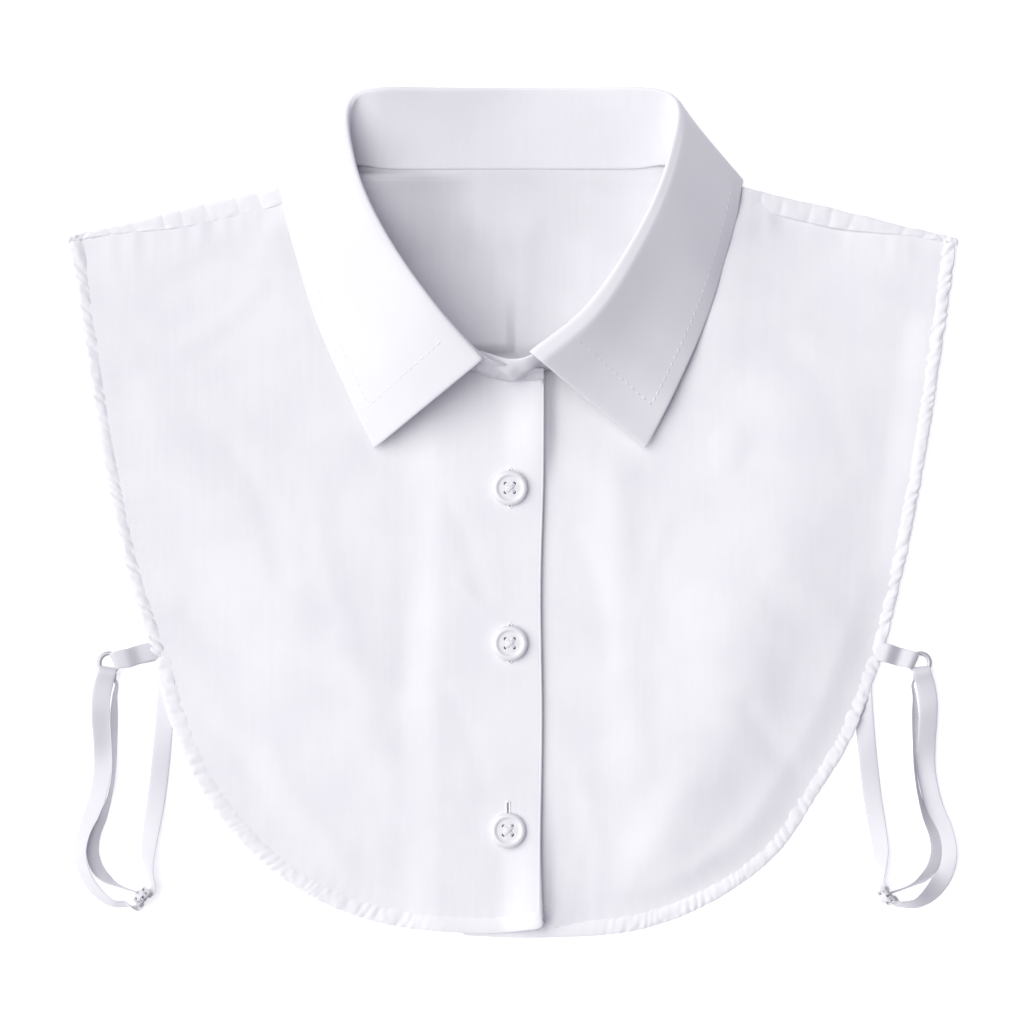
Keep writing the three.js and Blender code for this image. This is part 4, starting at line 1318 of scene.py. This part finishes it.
@dataclass
class CollarFall:
    """The fall: turned down over the fold, with its two leaves at the front and topstitching."""

    finishes: Finishes
    columns: int = 280
    rows: int = 48
    thickness: float = 0.9
    stitch_in: float = 6.0
    front_stitch: float = 0.026
    neck: Neck = field(default_factory=lambda: Neck(
        *([LEAF_END[side], *neck_rows(side)] for side in Side)))

    def section(self, part: float) -> Line:
        """The fall's section, from the neck's side over the fold to the free edge.

        Args:
            part: The share of the neck, from the right end to the left.

        Returns:
            The section.
        """
        s = self.neck.station(part)
        leaf = smooth_step(abs(part - 0.5), 0.2, 0.36)
        form = LEAF_FORM[Side.RIGHT if part < 0.5 else Side.LEFT]
        way = (s.edge - s.roll).normalized()
        outward = Vector((way.x, way.y, 0)).normalized()
        back = s.roll + way * ROLL_REACH - s.inward * s.open
        low = smooth_step(abs(part - 0.5), 0.36, 0.475)
        flat_top = mix(*form.flat_top, low) * leaf
        back += outward * flat_top + Vector((0, 0, 0.3 * flat_top))
        points = [s.fold_start, s.roll + outward * 0.3 * flat_top, back]
        for share, upper, lower in zip(LEAF_SHARES, form.upper, form.lower):
            rise = mix(upper, lower, low)
            p = back.lerp(s.edge, share)
            wave = 0.35 * share * wander(s.edge.x / 17 + s.edge.y / 15, 5.1)
            p.z += mix(s.bulge * 4 * share * (1 - share), rise + wave, leaf)
            points.append(p)
        return Curve(points).line(0.4)

    @staticmethod
    def row_share(v: float) -> float:
        """The share of a section's length at a row: rows lie closer round the fold."""
        return 0.42 * v if v < 0.3 else 0.126 + (v - 0.3) * 0.874 / 0.7

    def build(self) -> Object:
        """Makes the fall and its topstitching."""

        def column_at(u: float) -> Column:
            """The fall's points over one column, from the right leaf round to the left one."""
            section = self.section(u)
            return lambda v: section.point(self.row_share(v))

        bm = mapped_grid(self.columns, self.rows, column_at)
        fall = thicken(to_object("fall_cloth", bm, self.finishes.collar), self.thickness, rounded=True)
        dress(fall, "collar_poplin", "collar_fall")
        for side in Side:
            StitchRun(f"leaf_stitches_{side.label}", self.stitch_line(side), self.finishes.thread,
                      slot="collar_poplin").build()
        return fall

    def stitch_line(self, side: Side) -> list[Vector]:
        """The topstitching of one half: down the leaf's front edge, then along its free edge.

        Args:
            side: The half's side.

        Returns:
            The points of the row.
        """
        lift = Vector((0, 0, self.thickness / 2 + 0.05))

        def at(part: float) -> float:
            """A share of the half as a share of the neck."""
            return part if side is Side.RIGHT else 1 - part

        front = self.section(at(self.front_stitch))
        points = [front.point(mix(0.16, 1 - self.stitch_in / front.length, i / 26)) + lift for i in range(27)]
        for i in range(1, 61):
            section = self.section(at(mix(self.front_stitch, 0.31, i / 60)))
            points.append(section.point(1 - self.stitch_in / section.length) + lift)
        return points


# ---- Buttons ------------------------------------------------------------------------------------
@dataclass
class Buttonhole:
    """A buttonhole: a slit between two rows of close stitches, with a bar at each end."""

    name: str
    x: float
    y: float
    height: Callable[[float, float], float]
    finishes: Finishes
    slit: float = 0.5
    length: float = 14.5
    bead: float = 0.5
    rib_mm: float = 0.62

    def cut(self, bm: BMesh) -> None:
        """Cuts the slit through the panel's sheet.

        Args:
            bm: The sheet.
        """
        half_x, half_y = self.slit / 2, self.length / 2 - 0.6
        planes = [(Vector((self.x + sign * half_x, self.y, 0)), Vector((1, 0, 0))) for sign in (-1, 1)]
        planes += [(Vector((self.x, self.y + sign * half_y, 0)), Vector((0, 1, 0))) for sign in (-1, 1)]

        def near(face: BMFace) -> bool:
            """Whether a face is by the slit."""
            middle = face.calc_center_median() / MM
            return abs(middle.x - self.x) < 4 and abs(middle.y - self.y) < self.length / 2 + 4

        for at, normal in planes:
            faces = [f for f in bm.faces if near(f)]
            edges, verts = {e for f in faces for e in f.edges}, {v for f in faces for v in f.verts}
            bmesh.ops.bisect_plane(bm, geom=[*faces, *edges, *verts], dist=1e-7, plane_co=at * MM,
                                   plane_no=normal)
        inside = []
        for face in bm.faces:
            middle = face.calc_center_median() / MM
            if abs(middle.x - self.x) < half_x and abs(middle.y - self.y) < half_y:
                inside.append(face)
        bmesh.ops.delete(bm, geom=inside, context="FACES")

    def build(self) -> Object:
        """Makes the stitched welt round the slit."""
        half = self.length / 2 - 0.8
        across = self.slit / 2 + self.bead * 0.8
        angles = [pi * turn / 12 for turn in range(13)]
        corners = [Vector((across * cos(a), half + across * sin(a), 0)) for a in angles]
        loop = corners + [Vector((-p.x, -p.y, 0)) for p in corners] + [corners[0]]
        line = Line([p + Vector((self.x, self.y, 0)) for p in loop])

        def section(share: float, turn: float) -> tuple[float, float]:
            """The stitches' section, ribbed along the welt."""
            radius = self.bead * (0.8 + 0.2 * abs(sin(pi * share * line.length / self.rib_mm)))
            at = line.point(share)
            return radius * cos(turn), self.height(at.x, at.y) + 0.12 + 0.7 * radius * sin(turn)

        return dress(to_object(self.name, swept(line, 200, 10, section), self.finishes.thread), "poplin")


@dataclass
class Button:
    """A four-hole resin button with a raised rim, sewn on with a crossed thread."""

    name: str
    x: float
    y: float
    z: float
    finishes: Finishes
    radius: float = 6.35
    height: float = 2.2
    pitch: float = 3.1
    hole: float = 0.66
    steps: int = 64

    def profile(self) -> list[tuple[float, float]]:
        """The half section, from the middle of the underside to the middle of the face."""
        r, h = self.radius, self.height
        return [
            (0, 0.1), (r - 1.6, 0.05), (r - 0.7, 0.25), (r - 0.15, 0.75), (r, 1.2), (r - 0.1, h - 0.62),
            (r - 0.45, h - 0.22), (r - 0.95, h - 0.03), (r - 1.35, h), (r - 1.75, h - 0.07),
            (r - 2.0, h - 0.28), (r - 2.3, h - 0.38), (r - 3.0, h - 0.36), (0, h - 0.3),
        ]

    def body(self) -> BMesh:
        """The turned blank, about its own axis, in millimetres."""
        bm = bmesh.new()
        verts = [bm.verts.new((r, 0, z)) for r, z in self.profile()]
        edges = [bm.edges.new(pair) for pair in zip(verts, verts[1:])]
        bmesh.ops.spin(bm, geom=[*verts, *edges], cent=(0, 0, 0), axis=(0, 0, 1), angle=2 * pi,
                       steps=self.steps, use_merge=True)
        bmesh.ops.remove_doubles(bm, verts=bm.verts, dist=1e-4)
        bmesh.ops.recalc_face_normals(bm, faces=bm.faces)
        return bm

    def drills(self) -> BMesh:
        """The four drills."""
        bm = bmesh.new()
        for sx in (-1, 1):
            for sy in (-1, 1):
                at = Matrix.Translation((sx * self.pitch / 2, sy * self.pitch / 2, self.height / 2))
                bmesh.ops.create_cone(bm, cap_ends=True, segments=20, radius1=self.hole, radius2=self.hole,
                                      depth=self.height * 2, matrix=at)
        return bm

    def build(self) -> Object:
        """Makes the button and its thread."""
        at = (self.x, self.y, self.z)
        body = to_object(f"{self.name}_turned", placed(self.body(), at), self.finishes.resin)
        tool = to_object(f"{self.name}_drills", placed(self.drills(), at), self.finishes.resin)
        cut = body.modifiers.new("holes", "BOOLEAN")
        cut.object, cut.operation, cut.solver = tool, "DIFFERENCE", "EXACT"
        drilled = bpy.data.meshes.new_from_object(body.evaluated_get(bpy.context.evaluated_depsgraph_get()))
        body.modifiers.remove(cut)
        body.data = drilled
        bpy.data.objects.remove(tool)
        soft = body.modifiers.new("rounding", "BEVEL")
        soft.width, soft.segments, soft.limit_method, soft.angle_limit = 0.14 * MM, 2, "ANGLE", radians(40)
        drilled.polygons.foreach_set("use_smooth", [True] * len(drilled.polygons))
        dress(body, "resin", self.name)
        self.thread()
        return body

    def thread(self) -> Object:
        """The sewing thread: two crossed bundles over the face, down through the holes."""
        bm = bmesh.new()
        top = self.height - 0.26
        for turn in (1, -1):
            for strand in (-0.4, 0.0, 0.4):
                reach = self.pitch * 0.71
                side = Vector((1, -turn, 0)).normalized() * strand
                way = Vector((1, turn, 0)).normalized()
                crown = top + (0.36 if turn > 0 else 0.16)
                shares = ((-1, top - 0.7), (-0.9, top - 0.2), (0, crown), (0.9, top - 0.2), (1, top - 0.7))
                knots = [way * reach * share + Vector((0, 0, z)) for share, z in shares]
                self.strand(bm, [k + side for k in knots])
        bm = placed(bm, (self.x, self.y, self.z))
        return dress(to_object(f"{self.name}_thread", bm, self.finishes.thread), "poplin")

    @staticmethod
    def strand(bm: BMesh, knots: Sequence[Vector], radius: float = 0.21) -> None:
        """Adds one strand of thread.

        Args:
            bm: The mesh that it is added to.
            knots: Its points, in millimetres.
            radius: Its radius.
        """
        line = Curve(knots).line(0.25)
        ring = None
        for share in (i / 18 for i in range(19)):
            turn = line.way(share).to_track_quat("Z", "Y").to_matrix().to_4x4()
            made = bmesh.ops.create_circle(bm, segments=6, radius=radius,
                                           matrix=Matrix.Translation(line.point(share)) @ turn)
            edges = list({e for v in made["verts"] for e in v.link_edges})
            if ring:
                bmesh.ops.bridge_loops(bm, edges=[*ring, *edges])
            ring = edges


# ---- Side fastening -----------------------------------------------------------------------------
@dataclass(frozen=True)
class StrapRow:
    """A place of a strap on the left side: middle in plan, way across, turn on edge and lift."""

    x: float
    y: float
    across: float
    edge: float
    lift: float
    twist: float = 0.0  # extra turn on edge, away from the key light on both sides
    width: float = ELASTIC_WIDTH


def strap_rows(*rows: tuple[float, ...]) -> tuple[StrapRow, ...]:
    """A strap's rows from their values."""
    return tuple(StrapRow(*row) for row in rows)


INNER_RUN = strap_rows(
    (125.4, -60.0, 6, 0, 0.2, 20), (125.7, -67.0, 6, 0, 0.1, 20), (126.4, -77.8, 5, 0, 0.0, 12),
    (127.6, -90.7, 6, 3, 0.1), (129.1, -103.3, 8, 10, 0.0), (130.7, -113.0, 12, 22, 0.0),
    (132.0, -122.0, 8, 38, 0.1), (131.8, -129.0, 4, 58, 0.6),
)
OUTER_RUN = strap_rows(
    (139.6, -140.9, 84, 70, 0.5), (144.4, -140.6, 100, 62, 0.1, -4), (149.4, -137.4, 130, 44, 0.0, -12),
    (154.0, -131.4, 150, 26, 0.0, -24), (156.4, -123.0, 180, 10, 0.0, -38),
    (155.0, -114.6, 207, 7, 0.0, -36), (151.8, -107.2, 206, 5, 0.4, -26),
    (149.4, -99.0, 190, 3, 1.0, -18), (148.2, -91.0, 180, 2, 1.5, -8), (148.4, -82.0, 181, 0, 1.9, 8),
    (149.0, -74.0, 182, 0, 2.2, 9), (148.9, -67.0, 184, 0, 2.5, 0), (147.8, -61.0, 188, 0, 2.9),
)
SECOND_RUN = strap_rows(
    (143.5, -61.2, 176, 66, 0.7, 0, 2.4), (144.0, -66.0, 178, 70, 0.0, 0, 4.6),
    (144.3, -73.5, 180, 60, 0.0, 0, 5.4), (144.2, -82.5, 183, 68, 0.0, 0, 5.2),
    (144.3, -92.0, 184, 76, 0.0, 0, 5.0), (145.7, -101.5, 198, 74, 0.0, 0, 5.0),
    (148.2, -108.8, 208, 50, 0.0, 0, 5.0), (151.2, -115.6, 198, 26, 0.1, 0, 4.8),
    (152.0, -122.0, 178, 19, 0.2, 0, 4.8), (150.4, -127.8, 146, 21, 0.2, 0, 4.8),
    (147.0, -131.6, 128, 34, 0.4, 0, 4.0), (143.4, -133.8, 120, 60, 0.9, 0, 2.4),
    (140.0, -135.2, 116, 68, 2.4, 0, 1.3),
)
TAB_UPPER = {  # the tab's upper ply: its way across, then its middle from the side corner, Y and Z
    Side.RIGHT: ((76, -3.4, -48.8, 2.5), (76, 0.6, -49.7, 2.9), (72, 5.4, -51.0, 3.0), (72, 9.4, -52.3, 4.6)),
    Side.LEFT: ((76, -2.5, -49.6, 2.5), (72, 1.6, -50.4, 4.9), (72, 6.0, -51.8, 2.6)),
}


@dataclass(frozen=True)
class StrapPlace:
    """A place of a strap: its middle, way across, turn on edge and width."""

    at: Vector
    across: float
    edge: float
    width: float = ELASTIC_WIDTH


def run_places(rows: Sequence[StrapRow], side: Side, lean: int = 1, turn: float = 0.0) -> list[StrapPlace]:
    """The places of a run that lies on the floor.

    Args:
        rows: The run's rows.
        side: The garment's side, for the rows' twist.
        lean: 1 to lean as in the rows, -1 to lean the other way.
        turn: Turns on edge added all along, so that runs follow on without a jump.

    Returns:
        The places.
    """
    places = []
    for row in rows:
        edge = row.edge * lean + row.twist * side.value
        turned = radians(edge)
        rest = (0.91 * row.width * abs(sin(turned)) + ELASTIC_THICKNESS * abs(cos(turned))) / 2 + 0.15
        places.append(StrapPlace(Vector((row.x, row.y, rest + row.lift)), row.across, edge + turn, row.width))
    return places


def ring_turn(bearing: float, across: float, edge: float = 0.0) -> list[StrapPlace]:
    """The strap's turn round the ring's wire, from over it to under it.

    Args:
        bearing: Where on the ring it turns, in degrees.
        across: The strap's way across in plan, in degrees.
        edge: Its turn on edge, in degrees.

    Returns:
        The places.
    """
    radius = RING_WIRE + SEAM_GAP + ELASTIC_THICKNESS / 2 + STRAP_SLACK
    bearing = radians(bearing)
    out = Vector((cos(bearing), sin(bearing), 0))
    wire = Vector(RING_AT) + out * RING_RADIUS
    angles = [radians(turn) for turn in (90, 125, 160, 200, 235, 270)]
    return [StrapPlace(wire + out * radius * cos(a) + Vector((0, 0, radius * sin(a))), across, edge,
                       STRAP_AT_RING) for a in angles]


def slider_weave(lean: int) -> list[StrapPlace]:
    """The strap's way under, over and under the slider's bars.

    Args:
        lean: 1 or -1, the way that the slider leans.

    Returns:
        The places.
    """
    slider_edge = SLIDER_EDGE * lean
    along = upright(SLIDER_HEADING, 0)
    normal = along.cross(upright(SLIDER_HEADING + 90, slider_edge))
    clear, slot_at, bend = 1.35, 1.4, 0.5
    half = [(-4.6, -clear), (-slot_at - bend, -clear), (-slot_at, bend - clear), (-slot_at, clear - bend),
            (bend - slot_at, clear)]
    weave = half + [(-u, n) for u, n in reversed(half)]
    return [StrapPlace(Vector(SLIDER_AT) + along * u + normal * n, SLIDER_HEADING + 90, slider_edge)
            for u, n in weave]


@dataclass
class Strap:
    """A flat woven strap through its places, with rounded edges."""

    side: Side
    places: Sequence[StrapPlace]
    thickness: float = 0.62
    steps: int = 7
    around: int = 20

    def mesh(self) -> BMesh:
        """The strap's mesh, on its side of the garment."""
        middle = Curve([p.at for p in self.places])
        turns = Curve([(p.across, p.edge, p.width) for p in self.places])
        sign = self.side.value

        def column_at(share: float) -> Column:
            """The strap's section at one place."""
            at, along = middle.at(share), middle.tangent(share)
            bearing, edge, width = turns.at(share)
            across = upright(bearing, edge)
            normal = along.cross(across).normalized()

            def place(turn: float) -> Vector:
                """One point of the section."""
                angle = 2 * pi * turn
                side = across * (squared(cos(angle), 0.45) * width / 2)
                p = at + side + normal * (squared(sin(angle), 0.7) * self.thickness / 2)
                return Vector((sign * p.x, p.y, p.z))

            return place

        return tube(self.steps * (len(self.places) - 1), self.around, column_at)


@dataclass
class SideFastening:
    """One side's tab, ring, elastic and slider."""

    side: Side
    finishes: Finishes
    bar: float = 0.9
    slot: float = 1.9
    plate: float = 1.0
    width: float = 8.4

    def strap(self, node: str, places: Sequence[StrapPlace]) -> Object:
        """Makes a strap in place of one of this side's nodes.

        Args:
            node: The node's name without its side.
            places: The strap's places.

        Returns:
            The strap.
        """
        name = f"{node}_{self.side.label}"
        woven = to_object(f"{name}_woven", Strap(self.side, places).mesh(), self.finishes.elastic)
        return dress(woven, "elastic", name)

    def elastic(self) -> Object:
        """The elastic, from under the front through the slider to the ring and back."""
        side, lean = self.side, self.side.value
        back = 0.0 if side is Side.LEFT else -180.0
        end = StrapPlace(Vector((135.6, -136.6, 5.0)), 130, 68 * lean + back, 1.3)
        return self.strap("elastic", [
            *run_places(INNER_RUN, side, lean), *slider_weave(lean), *run_places(OUTER_RUN, side, 1, back),
            *ring_turn(-78, 188, back), *run_places(SECOND_RUN, side, lean, back), end])

    def tab(self) -> Object:
        """The tab, folded through the ring and sewn into the hem."""
        corner = abs(ARMHOLE[self.side][-1][0])
        upper = [StrapPlace(Vector((corner + x, y, z)), across, 0) for across, x, y, z in TAB_UPPER[self.side]]
        lower = StrapPlace(Vector((corner - 1.6, -49.9, 1.6)), 80, 0, 6.4)
        return self.strap("tab", [*upper, *ring_turn(160, 66), lower])

    def ring(self) -> Object:
        """The ring: coated wire, bent round and closed."""
        bm = bmesh.new()
        section = Matrix.Translation((RING_RADIUS, 0, 0)) @ Matrix.Rotation(pi / 2, 4, "X")
        bmesh.ops.create_circle(bm, segments=14, radius=RING_WIRE, matrix=section)
        bmesh.ops.spin(bm, geom=[*bm.verts, *bm.edges], cent=(0, 0, 0), axis=(0, 0, 1), angle=2 * pi,
                       steps=48, use_merge=True)
        bmesh.ops.remove_doubles(bm, verts=bm.verts, dist=1e-4)
        for vert in bm.verts:
            radius = hypot(vert.co.x, vert.co.y)
            outer = max(0.0, (self.side.value * vert.co.x * 0.9 + vert.co.y * 0.4) / radius)
            grown = RING_RADIUS + (radius - RING_RADIUS) * (1 + 0.35 * outer)
            vert.co.x, vert.co.y = vert.co.x * grown / radius, vert.co.y * grown / radius
        bmesh.ops.recalc_face_normals(bm, faces=bm.faces)
        bm = placed(bm, (self.side.value * RING_AT[0], *RING_AT[1:]))
        ring = to_object(f"ring_{self.side.label}_wire", bm, self.finishes.coated)
        return dress(ring, "coated_metal", f"ring_{self.side.label}")

    def slider(self) -> Object:
        """The slider: a plate with two slots, its edges rounded."""
        bm = bmesh.new()
        pitch = self.bar + self.slot
        reach = self.width / 2 - self.bar / 2
        bars = [(x, 0, self.bar, self.width) for x in (-pitch, 0, pitch)]
        rails = [(0, y, 2 * pitch, self.bar) for y in (-reach, reach)]
        for x, y, wide, long in bars + rails:
            size = Matrix.Diagonal((wide, long, self.plate, 1))
            bmesh.ops.create_cube(bm, size=1.0, matrix=Matrix.Translation((x, y, 0)) @ size)
        along = upright(SLIDER_HEADING, 0)
        across = upright(SLIDER_HEADING + 90, SLIDER_EDGE * self.side.value)
        turned = Matrix((along, across, along.cross(across))).transposed().to_4x4()
        mirror = Matrix.Diagonal((self.side.value, 1, 1, 1))
        place = Matrix.Scale(MM, 4) @ mirror @ Matrix.Translation(SLIDER_AT) @ turned
        bmesh.ops.transform(bm, matrix=place, verts=bm.verts)
        bmesh.ops.recalc_face_normals(bm, faces=bm.faces)
        slider = to_object(f"slider_{self.side.label}_plate", bm, self.finishes.coated)
        for face in slider.data.polygons:
            face.use_smooth = False
        soft = slider.modifiers.new("rounding", "BEVEL")
        soft.width, soft.segments = 0.2 * MM, 2
        return dress(slider, "coated_metal", f"slider_{self.side.label}")

    def build(self) -> None:
        """Makes the side's pieces."""
        self.tab()
        self.ring()
        self.elastic()
        self.slider()


# ---- Garment ------------------------------------------------------------------------------------
@dataclass(frozen=True)
class ButtonPlace:
    """A button, and how far its buttonhole's middle lies above it."""

    name: str
    x: float
    y: float
    hole_shift: float = 0.0


BUTTONS = (
    ButtonPlace("button_1", -1.6, 9.0),
    ButtonPlace("button_2", -1.6, -46.8),
    ButtonPlace("button_3", -2.3, -114.1, 3.4),
)


@dataclass
class Garment:
    """The whole garment."""

    lay: Lay
    finishes: Finishes
    armhole_hem: HemForm = HemForm(5.2, 1.55, 5.6, 0.6, 1.1, 0.4)
    bottom_hem: HemForm = HemForm(6.8, 1.35, 4.4, 0.26, 0.35, 2.1)
    flat_hem: dict[Side, tuple[float, float]] = field(default_factory=lambda: {
        Side.RIGHT: (14.0, 46.0), Side.LEFT: (20.0, 44.0)})
    placket_fold: HemForm = HemForm(1.5, 0.66, 9.0, 0.03, 0.0, 5.2, 0.45, 0.01)
    fold_in: float = 0.65
    fold_below: float = 0.34
    hem_below: float = 0.2
    under_strip: float = 1.2

    def buttons(self, front: FrontPanel) -> list[Buttonhole]:
        """Makes the buttons.

        Args:
            front: The front that they show on.

        Returns:
            Their buttonholes, not made yet.
        """
        holes = []
        for place in BUTTONS:
            top = front.height(place.x, place.y) + front.thickness / 2
            Button(place.name, place.x, place.y, top + 0.1, self.finishes).build()
            holes.append(Buttonhole(f"{place.name}_hole", place.x, place.y + place.hole_shift, front.height,
                                    self.finishes))
        return holes

    def hems(self) -> dict[Side, list[Object]]:
        """Makes the fronts' hems, by side."""
        made: dict[Side, list[Object]] = {}
        for side in Side:

            def base(p: Vector, side: Side = side) -> float:
                """The hem's underside."""
                return FRONT_Z - self.hem_below + self.lay.rise(side, p.x, p.y)

            armhole = replace(self.armhole_hem, lean=-side.value * self.armhole_hem.lean)
            bottom = self.bottom_hem
            line = outward(inset(self.lay.armhole[side], side, armhole.width / 2), side)
            line = Line([p for p in line.points if p.y < self.lay.shoulder_y(side, p.x) - self.under_strip])
            below = outward(inset(self.lay.bottom[side], side, bottom.width / 2), side)
            hem = self.finishes.hem
            made[side] = [
                RolledHem(f"armhole_hem_{side.label}", line, armhole, base).build(hem),
                RolledHem(f"bottom_hem_{side.label}", below, bottom, base, self.flat_hem[side]).build(hem),
                # The left strip takes the panels' poplin, darker than the hems' lightened colour on the right
                # one: painted shade where the left leaf shades it.
                ShoulderStrip(side, self.lay).build(self.finishes.poplin if side is Side.LEFT else hem),
            ]
        edge = Curve([(9.4, -146), *RIGHT_FRONT_EDGE, (10.7, 47.5)]).line(1.0)
        front = FrontPanel(self.lay, self.finishes)
        fold = RolledHem("placket_fold", inset(edge, Side.RIGHT, self.fold_in), self.placket_fold,
                         lambda p: front.height(p.x, p.y) - self.fold_below)
        made[Side.RIGHT].append(fold.build(self.finishes.poplin))
        return made

    def build(self) -> None:
        """Makes every piece."""
        fronts = {side: FrontPanel(self.lay, self.finishes, side=side) for side in Side}
        holes = fronts[Side.RIGHT].slits = self.buttons(fronts[Side.RIGHT])
        cloth = {side: front.build() for side, front in fronts.items()}
        for hole in holes:
            hole.build()
        hems = self.hems()
        for side in Side:
            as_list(hems[side])
        BackPanel(self.lay, self.finishes).build()
        CollarStand(self.finishes).build()
        CollarFall(self.finishes).build()
        for side in Side:
            SideFastening(side, self.finishes).build()


@dataclass(frozen=True)
class Studio:
    """A plain pale floor, a soft key from the upper left and a camera straight above."""

    distance_mm: float = 3000.0
    width_mm: float = 368.6
    centre: tuple[float, float] = (-0.9, 0.36)
    level_mm: float = 4.0
    key: tuple[float, float, float] = (-0.60, 0.13, 0.79)
    key_color: str = "#FFFEFB"
    key_strength: float = 3.0
    key_spread: float = 70.0
    fill: str = "#EAE8FF"
    fill_strength: float = 0.30
    table_glow: float = 0.46

    def build(self) -> None:
        """Sets the floor, the lights and the camera."""
        bm = bmesh.new()
        bmesh.ops.create_grid(bm, x_segments=1, y_segments=1, size=12.0,
                              matrix=Matrix.Translation((0, 0, -0.0002)))
        # An opal acrylic light table: matte and white, with a little light from below.
        opal = PlainFinish("opal_table", "#FCFCFC", 0.95, specular=0.1).material()
        glow = opal.node_tree.nodes["Principled BSDF"].inputs
        glow["Emission Color"].default_value = linear("#FFFFFF")
        glow["Emission Strength"].default_value = self.table_glow
        floor = to_object("studio_floor", bm, opal)
        lamp = bpy.data.lights.new("key", "SUN")
        lamp.energy, lamp.angle = self.key_strength, radians(self.key_spread)
        lamp.color = linear(self.key_color)[:3]
        key = bpy.data.objects.new("key", lamp)
        key.rotation_euler = Vector(self.key).to_track_quat("Z", "Y").to_euler()
        bpy.context.scene.collection.objects.link(key)
        world = bpy.data.worlds.new("studio")
        world.use_nodes = True
        background = world.node_tree.nodes["Background"]
        background.inputs["Color"].default_value = linear(self.fill)
        background.inputs["Strength"].default_value = self.fill_strength
        bpy.context.scene.world = world
        # White cloth on white paper needs the plain transform: it keeps whites white.
        bpy.context.scene.view_settings.view_transform = "Standard"
        self.camera()

    def camera(self) -> None:
        """Sets a long lens straight above the garment, with its collar at the top."""
        data = bpy.data.cameras.new("camera")
        data.sensor_width = 36.0
        data.lens = data.sensor_width * (self.distance_mm - self.level_mm) / self.width_mm
        data.clip_end = 100.0
        camera = bpy.data.objects.new("camera", data)
        camera.location = (self.centre[0] * MM, self.centre[1] * MM, self.distance_mm * MM)
        bpy.context.scene.collection.objects.link(camera)
        bpy.context.scene.camera = camera


def main() -> None:
    """Builds the garment and the studio."""
    logging.basicConfig(level=logging.INFO, format="%(name)s %(message)s")
    Studio().build()
    Garment(Lay(), Finishes()).build()


if __name__ == "__main__":
    main()
